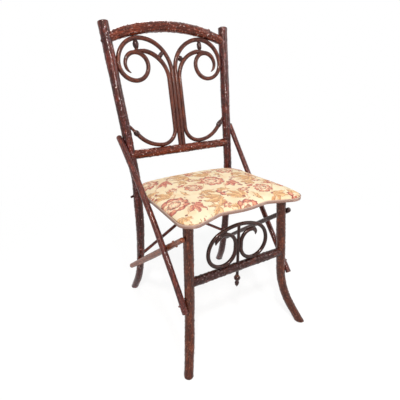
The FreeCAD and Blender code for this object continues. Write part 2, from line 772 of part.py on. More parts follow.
def make_back_scroll(word, side):
    """Bend the volute rod and the curl rod of one side."""
    open_sheet(f"{word}_scroll_sizes")
    route = Route((side * volute_stem, stem_start), 90)
    route.run("volute_stem_run").bend("volute_arch_radius", -side * 90).bend("volute_radius", -side * 90)
    for number in range(len(VOLUTE_RADIUS_SHARES) - 1):
        route.bend(f"volute_radius_{number}", -side * 90)
    route.bend(f"volute_radius_{len(VOLUTE_RADIUS_SHARES) - 1}", -side * size("volute_tip_turn"))
    volute = bent_stick(f"volute_rod_{word}", back, route, "rod_thick")
    start = Vector(side * volute_stem, 0, stem_start)
    pad(volute, f"volute_tenon_{word}",
        disc(volute, f"volute_tenon_section_{word}", start, -UP, "stem_tenon_thick"), "stem_tenon_pad")
    bore(bodies["lower_back_rail"], f"volute_socket_{word}", in_back(side, volute_stem, stem_start),
         along_back(side, 0, -1), "stem_socket_thick", "stem_socket_deep")
    bodies[f"volute_rod_{word}"] = volute

    route = Route((side * scarf_u, curl_top), 90 + side * 90)
    route.run("curl_top_run").bend("curl_arch_radius", side * 90).run("curl_stem_run")
    route.bend("curl_foot_radius", side * 90).bend("curl_sweep_radius", side * size("curl_sweep_turn"))
    curl = bent_stick(f"curl_rod_{word}", back, route, "rod_thick")
    before = curl.Shape.Volume
    offset = Placement(Vector(0, scarf_v, side * scarf_u), Rotation())
    section = ring_section(curl, f"curl_scarf_section_{word}", offset, "volute_radius_2", "scarf_thick")
    revolve(curl, f"curl_scarf_{word}", "Groove", section, "H_Axis")
    check_cut(curl, "scarf", before)
    start = Vector(side * neck_u, 0, neck_v)
    lean = Vector(side * cosine(size("curl_sweep_turn")), 0, sine(size("curl_sweep_turn")))
    pad(curl, f"curl_neck_{word}", disc(curl, f"curl_neck_section_{word}", start, lean, "curl_neck_thick"),
        "curl_neck_long")
    bodies[f"curl_rod_{word}"] = curl
    lean = back.Rotation.multVec(lean)
    start = back.multVec(start)
    bore(bodies[f"back_post_{word}"], "curl_mortise", start, lean, "curl_mortise_thick", "curl_mortise_long")
    knob = bead(f"curl_knob_{word}", start + lean * gap, lean, f"{word}_knob_long", "knob_thick",
                "knob_flat_thick")
    bore(knob, f"knob_bore_{word}", start, lean, "curl_mortise_thick", "curl_mortise_long")
    bodies[f"curl_knob_{word}"] = knob


arch_drop = curl_top - size("curl_arch_radius") - (ring_v + ring_radius - size("volute_arch_radius"))
arch_aside = curl_stem + size("curl_arch_radius") - ring_u
throat_reach = size("volute_arch_radius") - rod - gap
throat_near = size("curl_arch_radius") + rod + gap


def throat_far(lean):
    """Return how far the volute's arch lies from the middle of the curl's arch, at a lean from upright."""
    along = -arch_aside * sine(lean) + arch_drop * cosine(lean)
    across = abs(arch_aside * cosine(lean) + arch_drop * sine(lean))
    return -along + math.sqrt(along ** 2 - arch_aside ** 2 - arch_drop ** 2 + throat_reach ** 2) \
        - half("bead_flat_thick") * across / throat_reach


def make_beads(word, side):
    """Turn the bead at the top of the arches and the one at their throat."""
    open_sheet(f"{word}_bead_sizes")
    aside = size("crown_bead_aside") * CROWN_BEAD_ASIDE_SHARES[word]
    under = math.sqrt((ring_radius - rod - gap) ** 2 - (aside + half("bead_flat_thick") * bool(aside)) ** 2)
    derive(f"{word}_crown_bead_long", ring_v + under - curl_top - rod - gap)
    bodies[f"crown_bead_{word}"] = bead(
        f"crown_bead_{word}", in_back(side, ring_u + aside, curl_top + rod + gap), along_back(side, 0, 1),
        f"{word}_crown_bead_long", f"{word}_crown_bead_thick", "bead_flat_thick")
    turn = size(f"{word}_throat_bead_turn")
    derive(f"{word}_throat_bead_long", throat_far(turn) - throat_near)
    lean = along_back(side, -sine(turn), cosine(turn))
    centre = in_back(side, curl_stem + size("curl_arch_radius"), curl_top - size("curl_arch_radius"))
    bodies[f"throat_bead_{word}"] = bead(
        f"throat_bead_{word}", centre + lean * throat_near, lean,
        f"{word}_throat_bead_long", f"{word}_throat_bead_thick", "bead_flat_thick")


for word, side in SIDES.items():
    make_back_scroll(word, side)
    make_beads(word, side)

# Front scroll: one rod that stands on the stretcher, with a drop rod and a finial in its middle

open_sheet("front_scroll_sizes")
stretcher_y = line_at(front_lines["left"], size("stretcher_height"))[0].y
scroll_rod = half("scroll_thick")
scroll_base = size("stretcher_height") + half("stretcher_thick") + gap + scroll_rod
arch_turn = size("scroll_arch_turn")
shoulder = size("scroll_shoulder_radius")
side_radius = derive("scroll_side_radius", size("scroll_high")
                     - size("scroll_arch_radius") * (1 - cosine(arch_turn)) - shoulder * cosine(arch_turn))
scroll_foot = size("scroll_arch_radius") * sine(arch_turn) + shoulder * (1 - sine(arch_turn)) - side_radius
scroll_inner = half("drop_rod_thick") + gap + scroll_rod
derive("scroll_inner_radius", scroll_foot - scroll_inner)


def scroll_half(word):
    """Walk one half of the front scroll from the top of its arch to its tip."""
    route = Route((0, size("scroll_high")), 0)
    route.bend("scroll_arch_radius", -arch_turn).bend("scroll_shoulder_radius", arch_turn - 90)
    route.bend("scroll_side_radius", -90).bend("scroll_inner_radius", -90).run("scroll_inner_run")
    route.bend(f"scroll_{word}_top_radius", -90)
    return route.bend(f"scroll_{word}_beak_radius", -size(f"scroll_{word}_beak_turn"))


scroll_frame = Placement(Vector(-size("scroll_aside"), stretcher_y, scroll_base), Rotation())
bodies["front_scroll"] = bent_stick("front_scroll", scroll_frame,
                                    joined(scroll_half("left"), scroll_half("right")), "scroll_thick")
drop_axis = Vector(-size("scroll_aside"), stretcher_y, 0)
drop_top = scroll_base + size("scroll_high") - scroll_rod - gap
finial_top = size("stretcher_height") - half("stretcher_thick") - size("drop_below")
open_sheet("drop_sizes")
derive("drop_hole_thick", size("drop_rod_thick") + 2 * size("fit_gap"))
derive("drop_hole_long", 2 * size("stretcher_thick"))
derive("finial_hole_deep", size("finial_socket_deep") + size("end_gap"))
bodies["drop_rod"] = straight_stick("drop_rod", drop_axis + UP * drop_top,
                                    drop_axis + UP * (finial_top - size("finial_socket_deep")),
                                    "drop_rod_thick")
bore(bodies["front_stretcher"], "drop_hole",
     drop_axis + UP * (size("stretcher_height") + size("stretcher_thick")),
     -UP, "drop_hole_thick", "drop_hole_long")
derive("finial_long", size("finial_knob_long") + size("finial_drop_long"))
derive("finial_knob_bulge", bulge_radius(
    math.hypot(size("finial_knob_long"), half("finial_flat_thick") - half("finial_neck_thick")),
    half("finial_knob_thick") - (half("finial_flat_thick") + half("finial_neck_thick")) / 2))
derive("finial_drop_bulge", bulge_radius(
    math.hypot(size("finial_drop_long"), half("finial_neck_thick") - half("finial_tip_thick")),
    half("finial_drop_thick") - (half("finial_neck_thick") + half("finial_tip_thick")) / 2))
finial = turned_piece("drop_finial", drop_axis + UP * finial_top, -UP, [
    (None, None, None),
    ("finial_flat_thick", None, "finial_knob_bulge"),
    ("finial_neck_thick", "finial_knob_long", "finial_drop_bulge"),
    ("finial_tip_thick", "finial_long", None),
    (None, "finial_long", None)])
bore(finial, "finial_socket", drop_axis + UP * finial_top, -UP, "drop_hole_thick", "finial_hole_deep")
bodies["drop_finial"] = finial

# Braces: short and long ones outside the legs, and two that cross behind

short_lines = {}
brace_nails = []
apart = {
    "post": half("post_thick") + half("long_brace_thick") + gap,
    "leg": half("leg_thick") + half("long_brace_thick") + gap,
    "short_post": half("post_thick") + half("short_brace_thick") + gap,
    "short_leg": half("leg_thick") + half("short_brace_thick") + gap,
    "crossing": half("short_brace_thick") + half("long_brace_thick") + gap,
}


def outside(side, first, second):
    """Return the direction square to two sticks that cross, away from the middle of the chair."""
    square = unit(first.cross(second))
    return square if square.x * side > 0 else -square


def make_short_brace(word, side):
    """Set a brace against the outside of the back leg and the front leg, bowed in between them."""
    rear, rear_rise = line_at(rear_lines[word], size("short_brace_rear_height"))
    front, front_rise = line_at(front_lines[word], size("short_brace_front_height"))
    inward = ACROSS * -side * size("short_brace_bow")
    points = [rear, (rear + front) / 2 + inward, front]
    for step in range(12):
        centre, radius, normal = arc_through(*points)
        squares = [outside(side, rise, normal.cross(unit(point - centre)))
                   for rise, point in ((rear_rise, points[0]), (front_rise, points[2]))]
        ends = [rear + squares[0] * apart["short_post"], front + squares[1] * apart["short_leg"]]
        points = [ends[0], (ends[0] + ends[1]) / 2 + inward, ends[1]]
    centre, radius, normal = arc_through(*points)
    opening = math.degrees((points[0] - centre).getAngle(points[2] - centre))
    crossing = Rotation(normal, opening * LONG_BRACE_CROSSING_SHARES[word]).multVec(points[0] - centre)
    short_lines[word] = (centre + crossing, normal.cross(unit(crossing)))
    label = f"short_brace_{word}"
    overhangs = (size("short_brace_rear_overhang"), size("short_brace_front_overhang"))
    bodies[label] = bowed_stick(label, points, overhangs, "short_brace_thick")
    for end, square, leg in zip(ends, squares, (f"back_post_{word}", f"front_leg_{word}")):
        brace_nails.append((end + square * half("short_brace_thick"), -square, "brace_nail_long",
                            (label, leg)))


def make_long_brace(word, side):
    """Bow a brace from the back post, across the short brace, to the front leg."""
    top, top_rise = line_at(rear_lines[word], size("long_brace_top_height"))
    foot, foot_rise = line_at(front_lines[word], size("long_brace_foot_height"))
    crossing, short_way = short_lines[word]
    points = [top, crossing + ACROSS * side * apart["crossing"], foot]
    for step in range(12):
        centre, radius, normal = arc_through(*points)
        ways = [normal.cross(unit(point - centre)) for point in points]
        squares = [outside(side, rise, way) for rise, way in zip((top_rise, short_way, foot_rise), ways)]
        points = [top + squares[0] * apart["post"], crossing + squares[1] * apart["crossing"],
                  foot + squares[2] * apart["leg"]]
    label = f"long_brace_{word}"
    overhang = size("long_brace_overhang")
    bodies[label] = bowed_stick(label, points, (overhang, overhang), "long_brace_thick")
    joins = (f"back_post_{word}", f"short_brace_{word}", f"front_leg_{word}")
    lengths = ("brace_nail_long", "crossing_nail_long", "brace_nail_long")
    for point, square, other, length in zip(points, squares, joins, lengths):
        brace_nails.append((point + square * half("long_brace_thick"), -square, length, (label, other)))


for word, side in SIDES.items():
    open_sheet(f"{word}_brace_sizes")
    make_short_brace(word, side)
    make_long_brace(word, side)

open_sheet("cross_brace_sizes")
derive("cross_socket_thick", size("cross_brace_thick") + 2 * size("fit_gap"))
derive("cross_socket_long", size("post_thick") + size("end_gap"))
bow = half("cross_brace_thick") + gap / 2
crossing_spots = {}
for name, low, high, hand in (("front", "left", "right", -1), ("rear", "right", "left", 1)):
    label = f"cross_brace_{name}"
    first = line_at(rear_lines[low], size("cross_brace_low_height"))[0]
    last = line_at(rear_lines[high], size("cross_brace_high_height"))[0]
    way = unit(last - first)
    inset = half("post_thick") - size("cross_brace_socket_deep")
    middle = (first + last) / 2 + Vector(0, hand * bow, 0)
    points = [first + way * inset, middle, last - way * inset]
    bodies[label] = bowed_stick(label, points, (0, 0), "cross_brace_thick")
    centre, radius, normal = arc_through(*points)
    for word, point, turn in ((low, points[0], -1), (high, points[2], 1)):
        into = normal.cross(unit(point - centre)) * turn
        bore(bodies[f"back_post_{word}"], f"{label}_socket", point - into * size("post_thick"), into,
             "cross_socket_thick", "cross_socket_long")
    crossing_spots[name] = middle

# Seat: a board under padding and a fabric cover whose hem is tacked below, with a band round its edge

open_sheet("seat_sizes")
HOLLOWS = ("waist", "dip")
OUTLINE = (("corner", -1), ("waist", -1), ("lobe", -1), ("dip", -1), ("front", 0),
           ("dip", 1), ("lobe", 1), ("waist", 1), ("corner", 1))
derive("seat_corner_x", size("seat_half_wide") - size("seat_corner_in") - size("seat_corner_radius"))
derive("seat_corner_y", size("seat_rear_reach") - size("seat_corner_radius"))
derive("seat_waist_x", size("seat_half_wide") + size("seat_waist_radius"))
derive("seat_waist_y", -size("seat_waist_forward"))
derive("seat_lobe_x", size("seat_half_wide") + size("seat_lobe_flare") - size("seat_lobe_radius"))
derive("seat_lobe_y", size("seat_lobe_radius") - size("seat_front_reach") - size("seat_lobe_forward"))
derive("seat_dip_x", size("seat_dip_half_gap"))
derive("seat_dip_y", size("seat_dip_deep") - size("seat_front_reach") - size("seat_dip_radius"))
derive("seat_front_x", 0)
derive("seat_front_y", size("seat_front_radius") - size("seat_front_reach"))
derive("crown_middle_y", -size("crown_forward"))
derive("band_inset", 0)
derive("band_inner_inset", size("gimp_thick"))
derive("cover_inset", size("band_inner_inset") + gap)
derive("cavity_inset", size("cover_inset") + size("cover_thick"))
derive("hem_inset", size("cover_inset") + size("hem_wide"))
derive("board_inset", size("cavity_inset") + gap)
derive("tack_inset", size("cover_inset") + size("hem_wide") * TACK_LINE_SHARE)
board_base = size("board_underside")
board_top = derive("board_top", board_base + size("board_thick"))
side_top = derive("side_top", board_top + size("padding_edge_high"))
derive("cover_side_high", side_top - size("seat_underside"))
derive("cavity_high", side_top - board_base)
derive("cavity_crown_high", size("crown_high") - size("cover_thick"))
derive("padding_crown_high", size("cavity_crown_high") - gap)


def belt(inset, share):
    """List the arcs of the seat's outline, drawn in by an inset and shrunk towards the crown's middle."""
    circles = []
    for kind, side in OUTLINE:
        hollow = kind in HOLLOWS
        radius = (size(f"seat_{kind}_radius") + (inset if hollow else -inset)) * share
        middle = size("crown_middle_y")
        centre = Vector(side * size(f"seat_{kind}_x") * share,
                        middle + (size(f"seat_{kind}_y") - middle) * share, 0)
        circles.append((kind, side, centre, -radius if hollow else radius))
    headings = []
    for number, (kind, side, centre, radius) in enumerate(circles):
        far, far_radius = circles[(number + 1) % len(circles)][2:]
        across = far - centre
        headings.append(math.degrees(math.atan2(across.y, across.x)
                                     + math.asin((radius - far_radius) / across.Length)))
    return [circle + (headings[number - 1], headings[number]) for number, circle in enumerate(circles)]


def on_circle(centre, radius, heading):
    """Return the point of a circle where the outline has a heading."""
    return centre + Vector(sine(heading), -cosine(heading), 0) * radius


def seat_line(body, name, height, inset, share=1.0):
    """Draw the seat's outline at a height of the chair."""
    sketch = sketch_on(body, "XY_Plane", name, Placement(UP * height, Rotation()))
    arcs = belt(size(inset), share)
    middle = reference("crown_middle_y")
    for number, (kind, side, centre, radius, early, late) in enumerate(arcs):
        hollow = radius < 0
        shift = 90 if hollow else -90
        angles = [math.radians(early + shift), math.radians(late + shift)]
        if hollow:
            angles.reverse()
        if angles[1] < angles[0]:
            angles[1] += 2 * math.pi
        sketch.addGeometry(Part.ArcOfCircle(Part.Circle(centre, UP, abs(radius)), *angles), False)
        far, far_radius = arcs[(number + 1) % len(arcs)][2:4]
        sketch.addGeometry(Part.LineSegment(on_circle(centre, radius, late),
                                            on_circle(far, far_radius, late)), False)
    count = 2 * len(arcs)
    for number, (kind, side, centre, radius, early, late) in enumerate(arcs):
        hollow = radius < 0
        first, last = (2, 1) if hollow else (1, 2)
        arc = 2 * number
        sign = "+" if hollow else "-"
        bind(sketch, Sketcher.Constraint("Radius", arc, abs(radius)),
             f"({reference(f'seat_{kind}_radius')} {sign} {reference(inset)}) * {share}")
        if side:
            bind(sketch, Sketcher.Constraint("DistanceX", -1, 1, arc, 3, centre.x),
                 f"{side * share} * {reference(f'seat_{kind}_x')}")
        else:
            sketch.addConstraint(Sketcher.Constraint("PointOnObject", arc, 3, -2))
        bind(sketch, Sketcher.Constraint("DistanceY", -1, 1, arc, 3, centre.y),
             f"{middle} + {share} * ({reference(f'seat_{kind}_y')} - {middle})")
        sketch.addConstraint(Sketcher.Constraint("Tangent", arc, last, arc + 1, 1))
        sketch.addConstraint(Sketcher.Constraint("Tangent", (arc - 1) % count, 2, arc, first))
    document.recompute()
    return sketch


def crown(body, name, kind, inset, high):
    """Add or cut the soft rise of the seat above its upright sides."""
    sections = [seat_line(body, f"{name}_{number}", size("side_top") + size(high) * rise, inset, share)
                for number, (share, rise) in enumerate(zip(CROWN_SCALE_SHARES, CROWN_HIGH_SHARES))]
    loft(body, name, kind, sections, True)


board = make_body("seat_board")
pad(board, "board_slab", seat_line(board, "board_line", board_base, "board_inset"), "board_thick")
for word in SIDES:
    top = front_lines[word][0].Base
    bore(board, f"leg_socket_{word}", top, UP, "leg_socket_thick", "leg_socket_deep")
bodies["seat_board"] = board

padding = make_body("seat_padding")
pad(padding, "padding_slab", seat_line(padding, "padding_line", board_top, "board_inset"),
    "padding_edge_high")
crown(padding, "padding_crown", "Additive", "board_inset", "padding_crown_high")
bodies["seat_padding"] = padding

cover = make_body("seat_cover")
pad(cover, "cover_sides", seat_line(cover, "cover_line", size("seat_underside"), "cover_inset"),
    "cover_side_high")
crown(cover, "cover_crown", "Additive", "cover_inset", "crown_high")
before = cover.Shape.Volume
crown(cover, "cavity_crown", "Subtractive", "cavity_inset", "cavity_crown_high")
check_cut(cover, "cavity_crown", before)
cut(cover, "cavity", seat_line(cover, "cavity_line", side_top, "cavity_inset"), "cavity_high")
cut(cover, "hem_opening", seat_line(cover, "hem_line", board_base, "hem_inset"), "cover_thick")
bodies["seat_cover"] = cover

band = make_body("seat_gimp")
band_base = size("seat_underside") + size("gimp_rise")
pad(band, "band_slab", seat_line(band, "band_line", band_base, "band_inset"), "gimp_wide")
cut(band, "band_opening",
    seat_line(band, "band_inner_line", band_base + size("gimp_wide"), "band_inner_inset"), "gimp_wide")
bodies["seat_gimp"] = band

# Fasteners: a nail lies in a hole that is a little wider, and its head is just below the surface

open_sheet("fastener_sizes")
derive("nail_hole_thick", size("nail_thick") + 2 * size("nail_gap"))
derive("bundle_nail_long", 4 * size("rod_thick") + 3 * gap - 2 * size("nail_recess"))
derive("ring_nail_long",
       2 * size("scroll_thick") + size("drop_rod_thick") + 2 * gap - 2 * size("nail_recess"))
bead_nails = [f"{word}_{name}" for word in SIDES for name in ("crown", "throat")]
for name in bead_nails:
    derive(f"{name}_nail_long", size(f"{name}_bead_long") + 1.5 * size("rod_thick") + 2 * gap)
for name in ["rod", "brace", "crossing", "crest", "cross", "bundle", "ring"] + bead_nails:
    derive(f"{name}_nail_hole_long", size(f"{name}_nail_long") + size("end_gap") + size("nail_recess")
           + size("rod_thick"))
groups = {}


def nail(group, surface, direction, length, labels):
    """Drive a nail from a surface in a direction through the pieces that it joins."""
    direction = unit(direction)
    number = len(groups.setdefault(group, [])) + 1
    piece = document.addObject("Part::Cylinder", f"{group}_{number}")
    piece.setExpression("Radius", f"{reference('nail_thick')} / 2")
    piece.setExpression("Height", reference(length))
    piece.Placement = Placement(surface + direction * size("nail_recess"), Rotation(UP, direction))
    groups[group].append(piece)
    for label in labels:
        bore(bodies[label], f"{group}_{number}_hole_{label}", surface - direction * size("rod_thick"),
             direction, "nail_hole_thick", length.replace("_long", "_hole_long"))


def headed(group, surface, direction, name):
    """Drive a headed pin from a surface, with its head behind the surface."""
    number = len(groups.setdefault(group, [])) + 1
    parts = []
    for part, way, thick, length in (("shank", direction, f"{name}_thick", f"{name}_shank_long"),
                                     ("head", -direction, f"{name}_head_thick", f"{name}_head_long")):
        piece = document.addObject("Part::Cylinder", f"{name}_{part}_{number}")
        piece.setExpression("Radius", f"{reference(thick)} / 2")
        piece.setExpression("Height", reference(length))
        piece.Placement = Placement(surface, Rotation(UP, way))
        parts.append(piece)
    whole = document.addObject("Part::MultiFuse", f"{name}_{number}")
    whole.Shapes = parts
    groups[group].append(whole)


def add_back_nails(word, side):
    """Nail the rods of the back to the frame and to each other."""
    group = "back_scroll_nails"
    volute, curl, post = f"volute_rod_{word}", f"curl_rod_{word}", f"back_post_{word}"
    ring = in_back(side, ring_u, ring_v)
    to_top = unit(along_back(side, ring_u, ring_v - crest_centre))
    reach = ring_radius + rod + gap + size("crest_thick") * crest_share
    nail(group, ring + to_top * reach, -to_top, "crest_nail_long", ("crest_rail", volute))
    to_side = along_back(side, cosine(size("post_splay")), -sine(size("post_splay")))
    nail(group, ring + to_side * (ring_radius + rod + gap + size("post_thick")), -to_side,
         "brace_nail_long", (post, volute))
    upward = along_back(side, 0, 1)
    aside = size("crown_bead_aside") * CROWN_BEAD_ASIDE_SHARES[word]
    nail(group, in_back(side, ring_u + aside, ring_v + math.sqrt((ring_radius + rod) ** 2 - aside ** 2)),
         -upward, f"{word}_crown_nail_long", (volute, f"crown_bead_{word}", curl))
    turn = size(f"{word}_throat_bead_turn")
    lean = along_back(side, -sine(turn), cosine(turn))
    centre = in_back(side, curl_stem + size("curl_arch_radius"), curl_top - size("curl_arch_radius"))
    nail(group, centre + lean * (throat_far(turn) + gap + size("rod_thick")), -lean,
         f"{word}_throat_nail_long", (volute, f"throat_bead_{word}", curl))
    nail(group, in_back(side, curl_stem + size("curl_foot_radius"), curl_bottom + rod), -upward,
         "rod_nail_long", (curl, "lower_back_rail"))


for word, side in SIDES.items():
    add_back_nails(word, side)
for share in BUNDLE_NAIL_SHARES:
    level = curl_bottom + size("curl_foot_radius") + size("curl_stem_run") * share
    nail("back_scroll_nails", in_back(-1, curl_stem + rod, level), ACROSS, "bundle_nail_long",
         ("curl_rod_left", "volute_rod_left", "volute_rod_right", "curl_rod_right"))
for surface, direction, length, labels in brace_nails:
    nail("brace_nails", surface, direction, length, labels)
nail("cross_brace_nail", crossing_spots["rear"] + Vector(0, half("cross_brace_thick"), 0), Vector(0, -1, 0),
     "cross_nail_long", ("cross_brace_rear", "cross_brace_front"))
ring_level = scroll_base + size("scroll_inner_radius") + size("scroll_inner_run") / 2
nail("front_scroll_nails", drop_axis + UP * (drop_top + gap + size("scroll_thick")), -UP, "rod_nail_long",
     ("front_scroll", "drop_rod"))
nail("front_scroll_nails", drop_axis + UP * ring_level - ACROSS * (scroll_inner + scroll_rod), ACROSS,
     "ring_nail_long", ("front_scroll", "drop_rod"))
for side in SIDES.values():
    nail("front_scroll_nails", drop_axis + ACROSS * side * scroll_foot + UP * (scroll_base + scroll_rod),
         -UP, "rod_nail_long", ("front_scroll", "front_stretcher"))

# Seat screws, up through the rear rail, and tacks, up through the hem

open_sheet("screw_sizes")
screw_way = Vector(0, -sine(size("screw_lean")), cosine(size("screw_lean")))
rail_radius = half("seat_rail_thick")
head_seat = rail_radius - size("screw_head_recess") - size("screw_head_long")
derive("screw_shank_long", head_seat + (board_base - seat_rail_height) / screw_way.z + size("screw_bite"))
derive("screw_hole_thick", size("screw_thick") + 2 * size("nail_gap"))
derive("screw_hole_long", size("screw_shank_long") + size("end_gap") + size("screw_head_long"))
derive("screw_head_hole_thick", size("screw_head_thick") + 2 * size("fit_gap"))
derive("screw_head_hole_long", size("screw_head_recess") + size("screw_head_long") + size("overrun"))
derive("tack_shank_long", size("tack_long"))
derive("tack_hole_thick", size("tack_thick") + 2 * size("nail_gap"))
derive("tack_hole_long", size("tack_long") + size("end_gap") + size("cover_thick"))
rail_y = line_at(rear_lines["left"], seat_rail_height)[0].y
for station in SCREW_STATIONS:
    axis = Vector(station * size("screw_spacing"), rail_y, seat_rail_height)
    seat = axis - screw_way * head_seat
    headed("seat_screws", seat, screw_way, "screw")
    for label in ("rear_seat_rail", "seat_cover", "seat_board"):
        bore(bodies[label], f"screw_hole_{station + 1}_{label}", seat - screw_way * size("screw_head_long"),
             screw_way, "screw_hole_thick", "screw_hole_long")
    bore(bodies["rear_seat_rail"], f"screw_head_hole_{station + 1}", seat, -screw_way,
         "screw_head_hole_thick", "screw_head_hole_long")

tack_edges = []
tack_arcs = belt(size("tack_inset"), 1.0)
for number, (kind, side, centre, radius, early, late) in enumerate(tack_arcs[:-1]):
    if number:
        points = [on_circle(centre, radius, heading) for heading in (early, (early + late) / 2, late)]
        tack_edges.append(Part.Arc(*points).toShape())
    far, far_radius = tack_arcs[number + 1][2:4]
    tack_edges.append(Part.makeLine(on_circle(centre, radius, late), on_circle(far, far_radius, late)))
for number, spot in enumerate(Part.Wire(tack_edges).discretize(Number=TACK_COUNT)):
    surface = Vector(spot.x, spot.y, size("seat_underside"))
    headed("cover_tacks", surface, UP, "tack")
    for label in ("seat_cover", "seat_board"):
        bore(bodies[label], f"tack_hole_{number}_{label}", surface - UP * size("cover_thick"), UP,
             "tack_hole_thick", "tack_hole_long")

for label, pieces in groups.items():
    if len(pieces) == 1:
        pieces[0].Label = label
        nodes[label] = pieces[0]
    else:
        nodes[label] = document.addObject("Part::Compound", label)
        nodes[label].Label = label
        nodes[label].Links = pieces
nodes.update(bodies)
document.recompute()

for item in document.Objects:
    if "Invalid" in item.State or "Error" in item.State:
        raise ValueError(f"{item.Label} has not been worked out")
for label, piece in nodes.items():
    if piece.Shape.isNull() or not piece.Shape.isValid():
        raise ValueError(f"{label} has no sound shape")

os.makedirs("parts", exist_ok=True)
for label, piece in nodes.items():
    piece.Shape.exportStep(f"parts/{label}.step")
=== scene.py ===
"""Twig chair: the looks of a rustic side chair of bent, varnished sticks with an upholstered seat.

Metres, +Z up, the front faces -Y. Left and right are those of someone who stands in front of the chair.
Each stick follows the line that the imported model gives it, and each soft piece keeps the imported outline.
"""

import logging
import math
from dataclasses import dataclass, field
from enum import Enum
from typing import Callable, Optional, Sequence, Union

import bmesh
import bpy
import numpy as np
from mathutils import Matrix, Vector, noise


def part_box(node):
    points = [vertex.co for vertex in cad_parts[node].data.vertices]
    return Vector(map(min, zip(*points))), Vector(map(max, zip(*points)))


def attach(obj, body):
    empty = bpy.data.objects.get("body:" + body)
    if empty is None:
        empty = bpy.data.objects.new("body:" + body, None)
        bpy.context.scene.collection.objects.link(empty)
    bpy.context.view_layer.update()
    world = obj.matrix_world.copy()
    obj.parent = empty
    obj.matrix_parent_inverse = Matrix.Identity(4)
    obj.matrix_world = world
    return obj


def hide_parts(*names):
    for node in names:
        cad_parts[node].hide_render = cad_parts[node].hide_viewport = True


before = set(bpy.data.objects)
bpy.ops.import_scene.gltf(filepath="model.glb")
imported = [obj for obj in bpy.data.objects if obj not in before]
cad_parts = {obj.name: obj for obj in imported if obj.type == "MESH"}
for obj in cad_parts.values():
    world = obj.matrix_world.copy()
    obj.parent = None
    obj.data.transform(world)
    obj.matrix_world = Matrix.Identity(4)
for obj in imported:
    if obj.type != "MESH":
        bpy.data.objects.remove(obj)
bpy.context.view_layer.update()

log = logging.getLogger("twig_chair")

ACROSS = Vector((1.0, 0.0, 0.0))
UP = Vector((0.0, 0.0, 1.0))
SIDES = {"left": -1, "right": 1}
BODY = "root"
ROD_STEP = 0.002

Line = list[Vector]
Radius = Callable[[np.ndarray], np.ndarray]
Colour = tuple[float, float, float]


def paint(red: int, green: int, blue: int) -> Colour:
    """Turn a colour as a screen shows it, 0 to 255, into a linear one."""
    return tuple((value / 255 / 12.92) if value <= 10 else ((value / 255 + 0.055) / 1.055) ** 2.4
                 for value in (red, green, blue))


def turned(vector: Vector, degrees: float, axis: Vector) -> Vector:
    """Turn a vector about an axis."""
    return Matrix.Rotation(math.radians(degrees), 3, axis) @ vector


# Lines of the sticks

class Path:
    """A line in one plane of the chair, walked by straight runs and tangent bends."""

    def __init__(self, origin: Vector, first: Vector, second: Vector, start: tuple[float, float],
                 heading: float) -> None:
        """Set the plane's origin and axes, and the start and heading of the walk in them.

        Args:
            origin: The point of the chair where both of the plane's coordinates are zero.
            first: The plane's first axis, a unit vector.
            second: Its second axis, square to the first.
            start: Where the walk starts, in the plane.
            heading: The first direction, in degrees from the first axis towards the second.
        """
        self.origin = origin
        self.axes = (first, second)
        self.start = start
        self.heading = heading
        self.legs: list[tuple[float, float]] = []

    def run(self, length: float) -> "Path":
        """Walk straight on."""
        self.legs.append((length, 0.0))
        return self

    def bend(self, radius: float, turn: float) -> "Path":
        """Walk round a bend, to the left where the turn in degrees is positive."""
        self.legs.append((radius * math.radians(abs(turn)), math.radians(turn)))
        return self

    def line(self, step: float = 0.003) -> Line:
        """Return points along the walk, about a step apart."""
        first, second = self.axes
        return [self.origin + first * u + second * v for u, v in self._walk(step)]

    def _walk(self, step: float) -> list[tuple[float, float]]:
        """List the places of the walk."""
        u, v = self.start
        heading = math.radians(self.heading)
        spots = [(u, v)]
        for length, turn in self.legs:
            count = max(1, math.ceil(length / step))
            swing = turn / count
            chord = length / count if not swing else 2 * length / turn * math.sin(swing / 2)
            for _ in range(count):
                u += chord * math.cos(heading + swing / 2)
                v += chord * math.sin(heading + swing / 2)
                heading += swing
                spots.append((u, v))
        return spots


def at_height(line: Line, height: float) -> tuple[Vector, Vector]:
    """Find where a line that runs down passes a height.

    Args:
        line: Points from the top down.
        height: The height above the floor.

    Returns:
        The point, and the line's upward direction there.
    """
    for upper, lower in zip(line, line[1:]):
        if lower.z <= height <= upper.z:
            share = (upper.z - height) / (upper.z - lower.z)
            return upper.lerp(lower, share), (upper - lower).normalized()
    raise ValueError(f"the line doesn't reach {height}")


def arc_through(points: Sequence[Vector]) -> tuple[Vector, Vector]:
    """Return the centre and the normal of the arc that is walked through three points."""
    first, second = points[0] - points[2], points[1] - points[2]
    square = first.cross(second)
    centre = points[2] + (second * first.length_squared - first * second.length_squared).cross(square) \
        / (2 * square.length_squared)
    return centre, (points[0] - centre).cross(points[2] - centre).normalized()


def bowed(points: Sequence[Vector], overhangs: tuple[float, float] = (0.0, 0.0), count: int = 90) -> Line:
    """Return the arc through three points, longer at each end by an overhang."""
    centre, normal = arc_through(points)
    spoke = points[0] - centre
    opening = math.degrees(spoke.angle(points[2] - centre))
    early, late = [math.degrees(overhang / spoke.length) for overhang in overhangs]
    return [centre + turned(spoke, angle, normal)
            for angle in np.linspace(-early, opening + late, count)]


def straight(start: Vector, end: Vector, count: int = 60) -> Line:
    """Return points along a straight line."""
    return [start.lerp(end, share) for share in np.linspace(0.0, 1.0, count)]


def outside(side: int, first: Vector, second: Vector) -> Vector:
    """Return the direction square to two sticks that cross, away from the middle of the chair."""
    square = first.cross(second).normalized()
    return square if square.x * side > 0 else -square


